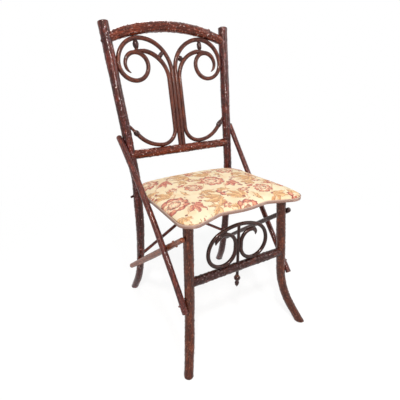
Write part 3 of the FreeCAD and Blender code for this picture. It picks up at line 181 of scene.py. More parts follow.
def taper(*thicknesses: float, at: Optional[Sequence[float]] = None, unit: float = 1.0) -> Radius:
    """Return the radius along a stick.

    Args:
        thicknesses: The stick's thicknesses, in units.
        at: The shares of the length where it has them; they are evenly spaced if none are given.
        unit: The unit's size in metres.

    Returns:
        A function from shares of the length to radii.
    """
    stations = np.linspace(0.0, 1.0, len(thicknesses)) if at is None else at
    return lambda share: np.interp(share, stations, thicknesses) * unit / 2


# Meshes

class End(Enum):
    """How a stick ends."""

    CUT = "cut"
    ROUND = "round"
    TIP = "tip"
    SUNK = "sunk"


@dataclass(frozen=True)
class Bark:
    """How far a stick's surface departs from a round one, in metres and in shares of its radius."""

    swell_share: float = 0.05
    swell_long: float = 0.07
    oval_share: float = 0.03
    lump_high: float = 0.0013
    lump_wide: float = 0.0095
    grit_high: float = 0.00025
    grit_wide: float = 0.0035
    wart_narrow: float = 1.6
    wart_steep: float = 1.5
    wart_level: float = 0.18
    oval_waves: float = 9.0
    oval_drift: float = 4.0
    wander: float = 0.0006
    wander_waves: float = 11.0
    wander_ease: float = 8.0
    sides: int = 28
    step: float = 0.0028


ROUGH_BARK = Bark()
KNOBBLY_BARK = Bark(swell_share=0.045, lump_high=0.0020, lump_wide=0.0098, sides=36, step=0.0024)
WARTY_BARK = Bark(swell_share=0.02, swell_long=0.01, oval_share=0.05, lump_high=0.0011, lump_wide=0.0060,
                  wander=0.0, sides=24, step=0.0009)
BRACE_BARK = Bark(swell_share=0.05, lump_high=0.0004, lump_wide=0.008, sides=24)
SMOOTH_BARK = Bark(swell_share=0.035, swell_long=0.05, lump_high=0.0001, grit_high=0.00008, wander=0.0003,
                   sides=20, step=0.0024)
NUB_BARK = Bark(swell_share=0.1, swell_long=0.01, lump_high=0.0002, lump_wide=0.005, grit_high=0.0002,
                wander=0.0, sides=14, step=0.0013)
NUB_FLARE = 1.8
NUB_SEED_STEP = 3.3


@dataclass(frozen=True)
class Nub:
    """A bud or the stump of a side shoot on a stick."""

    share: float
    toward: tuple[float, float, float]
    long: float
    thick: float
    lean: float = 0.2


@dataclass
class Stock:
    """Vertices and faces that are gathered for one mesh."""

    spots: list[np.ndarray] = field(default_factory=list)
    grain: list[np.ndarray] = field(default_factory=list)
    warts: list[np.ndarray] = field(default_factory=list)
    faces: list[tuple[int, ...]] = field(default_factory=list)
    cuts: list[int] = field(default_factory=list)
    count: int = 0

    def add_ring(self, spots: np.ndarray, grain: np.ndarray, warts: Optional[np.ndarray] = None) -> int:
        """Add a ring of vertices and return the number of its first one."""
        self.spots.append(spots)
        self.grain.append(grain)
        self.warts.append(np.zeros(len(spots)) if warts is None else warts)
        first = self.count
        self.count += len(spots)
        return first

    def bridge(self, first: int, second: int, sides: int, cut: bool = False) -> None:
        """Join two rings by a band of faces."""
        for index in range(sides):
            after = (index + 1) % sides
            if cut:
                self.cuts.append(len(self.faces))
            self.faces.append((first + index, first + after, second + after, second + index))

    def close(self, ring: int, centre: int, sides: int, forward: bool, cut: bool) -> None:
        """Join a ring to a vertex at its middle."""
        for index in range(sides):
            after = (index + 1) % sides
            if cut:
                self.cuts.append(len(self.faces))
            pair = (ring + index, ring + after) if forward else (ring + after, ring + index)
            self.faces.append((*pair, centre))

    def sweep(self, line: Line, radius: Radius, bark: Bark, ends: tuple[End, End], seed: float,
              nubs: Sequence[Nub] = ()) -> None:
        """Sweep a stick with its lumps, ends and nubs along a line.

        Args:
            line: Points along the stick's axis.
            radius: The radius at shares of the length.
            bark: How uneven the surface is.
            ends: How the stick starts and ends.
            seed: Where its unevenness is read, so that no two sticks are alike.
            nubs: Buds and stumps along it.
        """
        raw = np.array([tuple(spot) for spot in line])
        gone = np.concatenate([[0.0], np.cumsum(np.linalg.norm(np.diff(raw, axis=0), axis=1))])
        rings = max(4, round(gone[-1] / bark.step))
        walked = np.linspace(0.0, gone[-1], rings + 1)
        axis = np.stack([np.interp(walked, gone, raw[:, index]) for index in range(3)], 1)
        ways = np.gradient(axis, axis=0)
        ways /= np.linalg.norm(ways, axis=1)[:, None]
        across = Vector(ways[0]).orthogonal().normalized()
        shares = walked / gone[-1]
        radii = radius(shares)
        angles = np.linspace(0.0, 2 * math.pi, bark.sides, endpoint=False)
        first_ring = last_ring = None
        nub_spots: list[tuple[Vector, Vector, Nub]] = []
        waiting = sorted(nubs, key=lambda nub: nub.share)
        for index in range(rings + 1):
            way = Vector(ways[index])
            across = (across - way * across.dot(way)).normalized()
            beside = way.cross(across)
            along = walked[index]
            swell = bark.swell_share * noise.noise(Vector((along / bark.swell_long, seed, 0.0)))
            ease = bark.wander_ease
            drift = bark.wander * min(1.0, ease * shares[index], ease * (1 - shares[index]))
            waves = along * bark.wander_waves
            centre = Vector(axis[index]) + across * drift * noise.noise(Vector((waves, seed, 5.0))) \
                + beside * drift * noise.noise(Vector((waves, seed, 9.0)))
            thick = radii[index] * (1 + swell)
            place = self.add_ring(*self._ring(centre, across, beside, angles, thick, along, bark, seed))
            if last_ring is None:
                first_ring = place
            else:
                self.bridge(last_ring, place, bark.sides)
            last_ring = place
            while waiting and waiting[0].share <= shares[index]:
                nub = waiting.pop(0)
                out = Vector(nub.toward)
                out = (out - way * out.dot(way)).normalized()
                nub_spots.append((centre + out * thick * 0.5, (out + way * nub.lean).normalized(), nub))
        self._cap(first_ring, Vector(ways[0]) * -1, radii[0], ends[0], bark.sides, False, seed)
        self._cap(last_ring, Vector(ways[-1]), radii[-1], ends[1], bark.sides, True, gone[-1] + seed)
        for start, out, nub in nub_spots:
            reach = radii.mean() * 0.5 + nub.long
            self.sweep(straight(start, start + out * reach, 8), taper(NUB_FLARE, 1.0, 1.0, unit=nub.thick),
                       NUB_BARK, (End.SUNK, End.ROUND), seed + NUB_SEED_STEP)

    def _ring(self, centre: Vector, across: Vector, beside: Vector, angles: np.ndarray, thick: float,
              along: float, bark: Bark, seed: float) -> tuple[np.ndarray, np.ndarray, np.ndarray]:
        """Return one uneven ring, its grain coordinates and how far up a wart each point lies."""
        spots = np.empty((len(angles), 3))
        grain = np.empty((len(angles), 3))
        warts = np.empty(len(angles))
        for index, angle in enumerate(angles):
            wide, deep = math.cos(angle), math.sin(angle)
            skin = Vector((wide * thick, deep * thick, along))
            near = noise.voronoi(skin / bark.lump_wide + Vector((seed * 5, 0.0, seed)))[0][0]
            warts[index] = max(0.0, 1 - near * bark.wart_narrow) ** bark.wart_steep
            lump = bark.lump_high * (warts[index] - bark.wart_level)
            grit = bark.grit_high * noise.noise(skin / bark.grit_wide + Vector((seed, seed, 0.0)))
            lie = bark.oval_drift * noise.noise(Vector((along * bark.oval_waves, seed, 2.0)))
            oval = thick * bark.oval_share * math.cos(2 * angle + lie)
            out = thick + lump + grit + oval
            spots[index] = centre + across * (wide * out) + beside * (deep * out)
            grain[index] = (wide * thick, deep * thick, along + seed)
        return spots, grain, warts

    def _cap(self, ring: int, way: Vector, thick: float, kind: End, sides: int, forward: bool,
             along: float) -> None:
        """Close an end of a stick: sawn with a worn edge, drawn to a point, or plain where it is hidden.

        Args:
            ring: The number of the end ring's first vertex.
            way: The direction out of the stick.
            thick: The stick's radius there.
            kind: How it ends.
            sides: How many vertices the ring has.
            forward: Whether the faces run with the ring or against it.
            along: The grain coordinate along the stick at its end.
        """
        edge = self._of_ring(self.spots, ring, sides)
        middle = edge.mean(0)
        if kind is End.CUT:
            steps = ((0.955, 0.0012, False), (0.86, 0.0018, True), (0.45, 0.0021, True))
        elif kind is End.ROUND:
            steps = ((0.93, thick * 0.2, False), (0.72, thick * 0.36, False), (0.4, thick * 0.46, False))
        elif kind is End.TIP:
            steps = ((0.8, thick * 0.5, False), (0.45, thick * 0.9, False))
        else:
            steps = ((0.5, 0.0, False),)
        last = ring
        for share, out, cut in steps:
            spots = middle + (edge - middle) * share + np.array(way) * out
            grain = self._of_ring(self.grain, ring, sides)
            grain[:, :2] *= share
            place = self.add_ring(spots, grain)
            pair = (last, place) if forward else (place, last)
            self.bridge(*pair, sides, cut)
            last = place
        tip = self.add_ring((middle + np.array(way) * steps[-1][1])[None, :], np.array([[0.0, 0.0, along]]))
        self.close(last, tip, sides, forward, kind is End.CUT)

    @staticmethod
    def _of_ring(rows: list[np.ndarray], ring: int, sides: int) -> np.ndarray:
        """Return what a list of rings keeps for the vertices of one of them."""
        return np.concatenate(rows)[ring:ring + sides]

    def make(self, name: str) -> bpy.types.Object:
        """Make the object, its grain kept on the vertices and its cut faces in a second material slot."""
        mesh = bpy.data.meshes.new(name)
        spots = np.concatenate(self.spots)
        mesh.from_pydata(spots.tolist(), [], self.faces)
        attribute = mesh.attributes.new("grain", "FLOAT_VECTOR", "POINT")
        attribute.data.foreach_set("vector", np.concatenate(self.grain).astype(np.float32).ravel())
        attribute = mesh.attributes.new("wart", "FLOAT", "POINT")
        attribute.data.foreach_set("value", np.concatenate(self.warts).astype(np.float32))
        mesh.polygons.foreach_set("use_smooth", [True] * len(mesh.polygons))
        for index in self.cuts:
            mesh.polygons[index].material_index = 1
            mesh.polygons[index].use_smooth = False
        mesh.update()
        piece = bpy.data.objects.new(name, mesh)
        bpy.context.scene.collection.objects.link(piece)
        return piece


def cut_flat(piece: bpy.types.Object, height: float, keep_above: bool) -> None:
    """Cut a piece flat at a height and close it with a face of cut wood."""
    work = bmesh.new()
    work.from_mesh(piece.data)
    geometry = work.verts[:] + work.edges[:] + work.faces[:]
    made = bmesh.ops.bisect_plane(work, geom=geometry, plane_co=(0, 0, height), plane_no=(0, 0, 1),
                                  clear_inner=keep_above, clear_outer=not keep_above)
    rim = [item for item in made["geom_cut"] if isinstance(item, bmesh.types.BMEdge)]
    for face in bmesh.ops.holes_fill(work, edges=rim, sides=0)["faces"]:
        face.material_index = 1
        face.smooth = False
    bmesh.ops.recalc_face_normals(work, faces=work.faces[:])
    work.to_mesh(piece.data)
    work.free()
    piece.data.update()


# Shaders

Number = Union[float, "Wire"]


class Wire:
    """A socket whose operators add Math nodes behind it."""

    def __init__(self, shader: "Shader", socket: bpy.types.NodeSocket) -> None:
        """Keep the socket and the shader that it belongs to."""
        self.shader = shader
        self.socket = socket

    def _with(self, operation: str, *others: Number, swap: bool = False) -> "Wire":
        """Return the result of a Math operation."""
        values: list[Number] = [self, *others]
        if swap:
            values.reverse()
        sockets = dict(enumerate(values))
        return self.shader.node("ShaderNodeMath", {"operation": operation}, sockets)

    def __add__(self, other: Number) -> "Wire":
        """Add."""
        return self._with("ADD", other)

    __radd__ = __add__

    def __sub__(self, other: Number) -> "Wire":
        """Subtract."""
        return self._with("SUBTRACT", other)

    def __rsub__(self, other: Number) -> "Wire":
        """Subtract from a number."""
        return self._with("SUBTRACT", other, swap=True)

    def __mul__(self, other: Number) -> "Wire":
        """Multiply."""
        return self._with("MULTIPLY", other)

    __rmul__ = __mul__

    def __truediv__(self, other: Number) -> "Wire":
        """Divide."""
        return self._with("DIVIDE", other)

    def __abs__(self) -> "Wire":
        """Drop the sign."""
        return self._with("ABSOLUTE")

    def __pow__(self, other: Number) -> "Wire":
        """Raise to a power."""
        return self._with("POWER", other)

    def sine(self) -> "Wire":
        """Return the sine of radians."""
        return self._with("SINE")

    def cosine(self) -> "Wire":
        """Return the cosine of radians."""
        return self._with("COSINE")

    def floor(self) -> "Wire":
        """Round down."""
        return self._with("FLOOR")

    def root(self) -> "Wire":
        """Return the square root."""
        return self._with("SQRT")

    def most(self, other: Number) -> "Wire":
        """Return the larger of two."""
        return self._with("MAXIMUM", other)

    def wrap(self, low: float, high: float) -> "Wire":
        """Repeat between two ends."""
        return self._with("WRAP", high, low)

    def angle_of(self, other: Number) -> "Wire":
        """Return the angle whose tangent is this over the other."""
        return self._with("ARCTAN2", other)

    def fade(self, none: float, full: float) -> "Wire":
        """Run smoothly from 0 at one value to 1 at another."""
        settings = {"interpolation_type": "SMOOTHSTEP"}
        low, high = min(none, full), max(none, full)
        ends = {3: 0.0, 4: 1.0} if none < full else {3: 1.0, 4: 0.0}
        return self.shader.node("ShaderNodeMapRange", settings, {0: self, 1: low, 2: high, **ends})


class Shader:
    """The node tree of one finish."""

    def __init__(self, name: str) -> None:
        """Start a material with a principled shader."""
        self.material = bpy.data.materials.new(name)
        self.material.use_nodes = True
        self.tree = self.material.node_tree
        self.surface = self.tree.nodes["Principled BSDF"]

    def node(self, kind: str, settings: dict[str, object], sockets: dict[Union[int, str], object],
             output: Union[int, str] = 0) -> Wire:
        """Add a node.

        Args:
            kind: The node's type.
            settings: Its own settings, which are set first.
            sockets: Values or wires for its inputs, by name or number.
            output: The output to return.

        Returns:
            A wire from that output.
        """
        made = self.tree.nodes.new(kind)
        for name, value in settings.items():
            setattr(made, name, value)
        for name, value in sockets.items():
            if isinstance(value, Wire):
                self.tree.links.new(value.socket, made.inputs[name])
            else:
                made.inputs[name].default_value = value
        return Wire(self, made.outputs[output])

    def grain(self) -> Wire:
        """Return the coordinates that follow a stick: across it twice, then along it."""
        return self.node("ShaderNodeAttribute", {"attribute_name": "grain"}, {}, "Vector")

    def wart(self) -> Wire:
        """Return how far up a wart a point of a stick lies, from 0 to 1."""
        return self.node("ShaderNodeAttribute", {"attribute_name": "wart"}, {}, "Fac")

    def place(self) -> Wire:
        """Return the place on the chair, in metres."""
        return self.node("ShaderNodeTexCoord", {}, {}, "Object")

    def stretch(self, vector: Wire, scale: tuple[float, float, float]) -> Wire:
        """Scale a vector along each axis."""
        return self.node("ShaderNodeVectorMath", {"operation": "MULTIPLY"}, {0: vector, 1: scale})

    def parts(self, vector: Wire) -> tuple[Wire, Wire, Wire]:
        """Return the three coordinates of a vector."""
        made = self.node("ShaderNodeSeparateXYZ", {}, {0: vector})
        outputs = made.socket.node.outputs
        return made, Wire(self, outputs[1]), Wire(self, outputs[2])

    def cloud(self, vector: Wire, scale: float, detail: float = 3.0, roughness: float = 0.55) -> Wire:
        """Return soft noise from 0 to 1."""
        return self.node("ShaderNodeTexNoise", {}, {"Vector": vector, "Scale": scale, "Detail": detail,
                                                    "Roughness": roughness})

    def cells(self, vector: Wire, scale: float) -> Wire:
        """Return the distance to the nearest of scattered points."""
        return self.node("ShaderNodeTexVoronoi", {}, {"Vector": vector, "Scale": scale})

    def mix(self, share: Number, first: object, second: object) -> Wire:
        """Blend two colours."""
        colours = [value if isinstance(value, Wire) else (*value, 1.0) for value in (first, second)]
        sockets = {0: share, 6: colours[0], 7: colours[1]}
        return self.node("ShaderNodeMix", {"data_type": "RGBA"}, sockets, 2)

    def relief(self, height: Wire, distance: float, strength: float = 1.0) -> Wire:
        """Return a normal that is tilted by a height."""
        sockets = {"Height": height, "Distance": distance, "Strength": strength}
        return self.node("ShaderNodeBump", {}, sockets)

    def dress(self, **sockets: object) -> bpy.types.Material:
        """Set the principled shader's inputs, named with underscores, and return the material."""
        for name, value in sockets.items():
            target = self.surface.inputs[name.replace("_", " ")]
            if isinstance(value, Wire):
                self.tree.links.new(value.socket, target)
            else:
                target.default_value = value
        return self.material


@dataclass(frozen=True)
class BarkFinish:
    """Varnished bark: streaks along the stick, warm patches, pale flecks that are partly scars and partly
    painted sheen, painted shade between the warts, painted highlights on the wart tops, and a wet gloss.
    """

    deep: Colour
    middle: Colour
    warm: Colour
    # Fleck colour: partly bark scars, partly painted sheen.
    scar_and_sheen: Colour = paint(168, 132, 128)
    # Painted highlight colour for the tops of the warts.
    painted_glint: Colour = paint(226, 206, 200)
    warm_share: float = 0.8
    scar_and_sheen_share: float = 0.5
    painted_glint_share: float = 0.0
    gloss: float = 0.3
    relief: float = 0.0009

    def make(self, name: str) -> bpy.types.Material:
        """Build the material."""
        shader = Shader(name)
        grain = shader.grain()
        wart = shader.wart()
        streaks = shader.cloud(shader.stretch(grain, (1.0, 1.0, 0.2)), 230.0, 3.0, 0.62)
        patches = shader.cloud(shader.stretch(grain, (1.0, 1.0, 0.4)), 55.0, 2.0)
        specks = shader.cloud(shader.stretch(grain, (1.0, 1.0, 0.7)), 250.0, 2.0)
        colour = shader.mix(patches.fade(0.45, 0.60) * self.warm_share, self.middle, self.warm)
        colour = shader.mix(streaks.fade(0.58, 0.40) * 0.85, colour, self.deep)
        # Painted shade: the hollows between the warts take the deep colour.
        colour = shader.mix(wart.fade(0.22, 0.02) * 0.35, colour, self.deep)
        # Flecks that are partly bark scars and partly painted sheen.
        colour = shader.mix(specks.fade(0.58, 0.70) * self.scar_and_sheen_share, colour, self.scar_and_sheen)
        # Painted highlights: the pale colour goes on the tops of some warts.
        tops = wart.fade(0.45, 0.80) * specks.fade(0.40, 0.54)
        colour = shader.mix(tops * self.painted_glint_share, colour, self.painted_glint)
        return shader.dress(Base_Color=colour, Roughness=self.gloss + 0.16 * streaks,
                            Normal=shader.relief(streaks * 0.5 + specks * 0.5, self.relief),
                            Coat_Weight=0.28, Coat_Roughness=0.08, Specular_IOR_Level=0.3,
                            Specular_Tint=(1.0, 0.58, 0.48, 1.0))


@dataclass(frozen=True)
class CutFinish:
    """The sawn end of a stick: pale wood with rings, darker where varnish has soaked in."""

    pale: Colour = paint(134, 84, 58)
    ring: Colour = paint(84, 46, 32)
    rim: Colour = paint(48, 22, 17)
    ring_apart: float = 0.0016
    rim_radius: float = 0.0125

    def make(self, name: str) -> bpy.types.Material:
        """Build the material."""
        shader = Shader(name)
        grain = shader.grain()
        across, beside, _ = shader.parts(grain)
        away = (across * across + beside * beside).root()
        uneven = shader.cloud(grain, 190.0, 3.0)
        rings = ((away + uneven * self.ring_apart) * (2 * math.pi / self.ring_apart)).sine()
        colour = shader.mix(rings.fade(-0.2, 0.9) * 0.6, self.pale, self.ring)
        colour = shader.mix((away / self.rim_radius + uneven * 0.3).fade(0.95, 1.2), colour, self.rim)
        return shader.dress(Base_Color=colour, Roughness=0.55 + 0.2 * uneven,
                            Normal=shader.relief(rings * 0.4 + uneven, 0.0004), Coat_Weight=0.1)


@dataclass(frozen=True)
class BoardFinish:
    """Sawn board under the seat."""

    pale: Colour = paint(190, 152, 108)
    dark: Colour = paint(134, 94, 60)

    def make(self, name: str) -> bpy.types.Material:
        """Build the material."""
        shader = Shader(name)
        place = shader.place()
        lines = shader.cloud(shader.stretch(place, (0.06, 1.0, 1.0)), 150.0, 5.0, 0.65)
        clouds = shader.cloud(place, 14.0, 2.0)
        colour = shader.mix(lines.fade(0.38, 0.66), self.pale, self.dark)
        colour = shader.mix(clouds.fade(0.5, 0.75) * 0.4, colour, self.dark)
        return shader.dress(Base_Color=colour, Roughness=0.6 + 0.2 * lines,
                            Normal=shader.relief(lines, 0.0004))


@dataclass(frozen=True)
class SteelFinish:
    """Dulled steel of nails, screws and tacks, with a little rust."""

    metal: Colour = paint(118, 112, 106)
    rust: Colour = paint(96, 58, 38)

    def make(self, name: str) -> bpy.types.Material:
        """Build the material."""
        shader = Shader(name)
        place = shader.place()
        spots = shader.cloud(place, 900.0, 3.0)
        rusted = spots.fade(0.5, 0.7)
        colour = shader.mix(rusted, self.metal, self.rust)
        return shader.dress(Base_Color=colour, Metallic=1.0 - 0.7 * rusted,
                            Roughness=0.35 + 0.3 * spots, Normal=shader.relief(spots, 0.0001))


@dataclass(frozen=True)
class GimpFinish:
    """Woven braid round the seat's edge."""

    thread: Colour = paint(172, 132, 114)
    shade: Colour = paint(96, 60, 48)
    glint: Colour = paint(222, 188, 168)
    stitch: float = 0.0026

    def make(self, name: str) -> bpy.types.Material:
        """Build the material."""
        shader = Shader(name)
        along, up, _ = shader.parts(shader.grain())
        waves = 2 * math.pi / self.stitch
        weave = ((along + up) * waves).sine().most(((along - up) * waves).sine())
        fibre = shader.cloud(shader.place(), 700.0, 3.0)
        painted_glint = shader.cloud(shader.place(), 30.0, 2.0)
        colour = shader.mix(weave.fade(-0.4, 0.8), self.shade, self.thread)
        colour = shader.mix(up.fade(0.0048, 0.0022) * 0.55, colour, self.shade)
        colour = shader.mix(up.fade(0.0056, 0.0076) * 0.5, colour, self.glint)
        # Fine fibres and cloudy patches take the glint colour: painted glints.
        colour = shader.mix(fibre.fade(0.55, 0.8) * 0.5 + painted_glint.fade(0.5, 0.75) * 0.3, colour, self.glint)
        return shader.dress(Base_Color=colour, Roughness=0.75 + 0.15 * fibre,
                            Normal=shader.relief(weave + fibre * 0.6, 0.0005), Sheen_Weight=0.25)


@dataclass(frozen=True)
class Blossom:
    """A round flower of the print: its place, its radius, its petals and whether it is double."""

    across: float
    deep: float
    radius: float
    petals: int
    double: bool = True


@dataclass(frozen=True)
class Spray:
    """A fan of leaflets: its place, its direction and spread in degrees, its reach, count and curl."""

    across: float
    deep: float
    turn: float
    reach: float
    count: int
    spread: float = 80.0
    curl: float = 12.0
    rosy: bool = False


@dataclass(frozen=True)
class ClothFinish:
    """Woven cloth with a traditional print of blossoms, leaf sprays and stems, in a half-drop repeat."""

    ground: Colour = paint(255, 236, 200)
    ground_shade: Colour = paint(248, 218, 174)
    rose: Colour = paint(196, 88, 80)
    salmon: Colour = paint(240, 168, 134)
    gold: Colour = paint(246, 204, 148)
    tan: Colour = paint(216, 152, 104)
    outline: Colour = paint(118, 56, 48)
    repeat_wide: float = 0.178
    repeat_deep: float = 0.200
    shift: float = 0.02
    waver: float = 0.022
    waver_scale: float = 90.0
    thread: float = 0.0011
    stems: tuple[tuple[float, float], ...] = ((-0.030, 0.026), (0.040, 0.018), (0.004, 0.050))
    stem_phase: float = 50.0
    vein: float = 0.0045
    blossoms: tuple[Blossom, ...] = (
        Blossom(0.026, -0.012, 0.041, 9),
        Blossom(-0.054, 0.062, 0.028, 8),
        Blossom(0.066, 0.078, 0.0150, 6, False),
        Blossom(-0.028, -0.074, 0.0130, 5, False),
        Blossom(-0.074, -0.014, 0.0110, 5, False),
    )
    sprays: tuple[Spray, ...] = (
        Spray(-0.016, -0.026, 200.0, 0.064, 10, 62.0),
        Spray(0.034, 0.034, 95.0, 0.060, 11, 52.0, -14.0),
        Spray(0.062, -0.044, 300.0, 0.046, 9, 75.0, 14.0, True),
        Spray(-0.042, 0.028, 285.0, 0.044, 9, 60.0, -12.0),
        Spray(-0.068, 0.090, 120.0, 0.034, 9, 70.0, 12.0, True),
        Spray(-0.046, -0.076, 190.0, 0.040, 8, 70.0, -10.0),
        Spray(0.016, -0.080, 245.0, 0.044, 10, 70.0, 12.0),
        Spray(0.074, 0.026, 20.0, 0.042, 8, 60.0, -12.0),
        Spray(-0.014, 0.082, 60.0, 0.032, 8, 80.0, 10.0, True),
    )

    def make(self, name: str) -> bpy.types.Material:
        """Build the material."""
        shader = Shader(name)
        place = shader.place()
        warp, weft, _ = shader.parts(place)
        drift, slant = [shader.cloud(where, self.waver_scale, 4.0, 0.7) - 0.5
                        for where in (place, shader.stretch(place, (-1.0, 1.0, 1.0)))]
        wide, long = self.repeat_wide, self.repeat_deep
        column = ((warp + self.shift) / wide).floor()
        across = (warp + self.shift + drift * self.waver).wrap(-wide / 2, wide / 2)
        deep = (weft + column * (long / 2) + slant * self.waver).wrap(-long / 2, long / 2)
        blotch = shader.cloud(place, 240.0, 2.0)
        shade = shader.cloud(place, 26.0, 2.0).fade(0.42, 0.66)
        colour = shader.mix(shade * 0.7, self.ground, self.ground_shade)
        colour = self._stems(shader, colour, across, deep)
        for spray in self.sprays:
            colour = self._leaves(shader, colour, spray, across, deep, blotch)
        for flower in self.blossoms:
            colour = self._petals(shader, colour, flower, across, deep, blotch)
        berry = shader.cells(place, 46.0)
        thicket = shader.cloud(place, 24.0, 2.0).fade(0.52, 0.56)
        colour = shader.mix(berry.fade(0.24, 0.20) * thicket, colour, self.outline)
        colour = shader.mix(berry.fade(0.18, 0.12) * thicket, colour, self.rose)
        waves = 2 * math.pi / self.thread
        threads = (warp * waves).sine() * (weft * waves).sine()
        colour = shader.mix(threads.fade(0.2, 1.0) * 0.1, colour, self.tan)
        return shader.dress(Base_Color=colour, Roughness=0.82 + 0.1 * blotch,
                            Normal=shader.relief(threads + blotch * 0.8, 0.00035), Sheen_Weight=0.1,
                            Specular_IOR_Level=0.2)

    def _stems(self, shader: Shader, colour: Wire, across: Wire, deep: Wire) -> Wire:
        """Draw the thin curving stems."""
        for shift, sway in self.stems:
            bend = (deep * (2 * math.pi / self.repeat_deep) + shift * self.stem_phase).sine() * sway
            colour = shader.mix(abs(across - bend - shift).fade(0.0018, 0.0009) * 0.8, colour, self.tan)
        return colour

    def _leaves(self, shader: Shader, colour: Wire, spray: Spray, across: Wire, deep: Wire,
                blotch: Wire) -> Wire:
        """Draw a fan of leaflets, darker along one edge, with an outline and ribs."""
        right, up = across - spray.across, deep - spray.deep
        away = (right * right + up * up).root()
        angle = (up.angle_of(right) - math.radians(spray.turn)).wrap(-math.pi, math.pi)
        half = math.pi / spray.count
        folded = (angle + away * spray.curl).wrap(-half, half)
        beside = folded.sine() * away
        reach = spray.reach * (0.72 + 0.28 * angle.cosine())
        arch = 1.0 - (away * 2.0 / reach - 1.0) ** 2.0
        within = abs(angle).fade(math.radians(spray.spread) + 0.1, math.radians(spray.spread))
        room = (arch * (spray.reach * 0.16) - abs(beside)) / self.vein
        tint = shader.mix((beside / (spray.reach * 0.13)).fade(-0.7, 0.8) * 0.9,
                          self.salmon if spray.rosy else self.gold, self.rose if spray.rosy else self.tan)
        colour = shader.mix(room.fade(-0.08, 0.06) * within, colour, tint)
        line = room.fade(-0.22, -0.02) * room.fade(0.26, 0.08)
        rib = abs(beside).fade(0.0009, 0.0003) * room.fade(0.0, 0.2)
        return shader.mix(line.most(rib) * within * (0.25 + 0.7 * blotch), colour, self.outline)

    def _petals(self, shader: Shader, colour: Wire, flower: Blossom, across: Wire, deep: Wire,
                blotch: Wire) -> Wire:
        """Draw a blossom: round outer petals, a ring of inner ones, and a pale heart with dots."""
        right, up = across - flower.across, deep - flower.deep
        away = (right * right + up * up).root() / flower.radius
        angle = up.angle_of(right)
        rings = [(0.74, 0.27, 0.0, self.rose)]
        if flower.double:
            rings.append((0.50, 0.24, 1.0, self.salmon))
        for ring, petal, shift, tint in rings:
            half = math.pi / flower.petals
            folded = (angle + shift * half).wrap(-half, half)
            far = ((away * folded.cosine() - ring) ** 2.0 + (away * folded.sine()) ** 2.0).root() / petal
            shade = shader.mix(far.fade(0.2, 0.95), self.salmon if tint is self.rose else self.ground, tint)
            colour = shader.mix(far.fade(1.04, 0.96), colour, shade)
            edge = far.fade(0.80, 0.96) * far.fade(1.12, 1.0)
            colour = shader.mix(edge * (0.3 + 0.7 * blotch), colour, self.outline)
        size = 0.42 if flower.double else 0.5
        heart = away.fade(size + 0.04, size - 0.02)
        colour = shader.mix(heart, colour, shader.mix(away.fade(0.1, size), self.ground, self.salmon))
        dots = shader.cells(shader.place(), 300.0).fade(0.36, 0.22) * heart
        ring = away.fade(size - 0.07, size) * away.fade(size + 0.07, size)
        return shader.mix((dots * 0.8).most(ring * 0.7), colour, self.outline)


@dataclass(frozen=True)
class FibreFinish:
    """Pale stuffing."""

    pale: Colour = paint(226, 216, 196)
    dark: Colour = paint(188, 172, 146)

    def make(self, name: str) -> bpy.types.Material:
        """Build the material."""
        shader = Shader(name)
        fibres = shader.cloud(shader.stretch(shader.place(), (1.0, 0.2, 1.0)), 500.0, 5.0, 0.7)
        colour = shader.mix(fibres.fade(0.35, 0.7), self.pale, self.dark)
        return shader.dress(Base_Color=colour, Roughness=0.8 + 0.15 * fibres,
                            Normal=shader.relief(fibres, 0.001))


@dataclass(frozen=True)
class Finishes:
    """Every finish of the chair."""

    # In each bark finish the wart-top colour is a painted highlight, and the pale flecks are partly bark
    # scars and partly painted sheen.
    stick: BarkFinish = BarkFinish(paint(26, 10, 11), paint(62, 21, 16), paint(104, 34, 17), painted_glint_share=0.8,
                                   scar_and_sheen=paint(138, 100, 110), scar_and_sheen_share=0.6, gloss=0.24)
    leg: BarkFinish = BarkFinish(paint(40, 17, 12), paint(72, 31, 19), paint(100, 46, 25), painted_glint_share=0.12,
                                 scar_and_sheen=paint(156, 104, 78), scar_and_sheen_share=0.4)
    dark: BarkFinish = BarkFinish(paint(20, 9, 9), paint(46, 19, 16), paint(76, 32, 20), painted_glint_share=0.3,
                                  scar_and_sheen=paint(124, 94, 102), scar_and_sheen_share=0.5, gloss=0.26)
    crest: BarkFinish = BarkFinish(paint(46, 16, 9), paint(88, 32, 17), paint(124, 49, 22), painted_glint_share=1.0,
                                   scar_and_sheen=paint(190, 136, 118), scar_and_sheen_share=0.4, gloss=0.2, relief=0.0006)
    rod: BarkFinish = BarkFinish(paint(42, 18, 14), paint(78, 37, 27), paint(106, 50, 30), warm_share=0.7,
                                 scar_and_sheen=paint(150, 106, 96), scar_and_sheen_share=0.3, gloss=0.28, relief=0.0003)
    scroll: BarkFinish = BarkFinish(paint(14, 6, 6), paint(36, 16, 13), paint(60, 27, 19), warm_share=0.5,
                                    scar_and_sheen=paint(110, 84, 84), scar_and_sheen_share=0.25, gloss=0.26, relief=0.0003)
    brace: BarkFinish = BarkFinish(paint(40, 15, 15), paint(86, 40, 35), paint(118, 50, 32), warm_share=0.6,
                                   scar_and_sheen=paint(156, 110, 108), scar_and_sheen_share=0.45, gloss=0.28, relief=0.0006)
    pale: BarkFinish = BarkFinish(paint(84, 41, 27), paint(126, 68, 43), paint(148, 84, 54),
                                  scar_and_sheen=paint(72, 37, 27), scar_and_sheen_share=0.35, gloss=0.38, relief=0.0005)
    cut: CutFinish = CutFinish()
    board: BoardFinish = BoardFinish()
    steel: SteelFinish = SteelFinish()
    gimp: GimpFinish = GimpFinish()
    cloth: ClothFinish = ClothFinish()
    fibre: FibreFinish = FibreFinish()


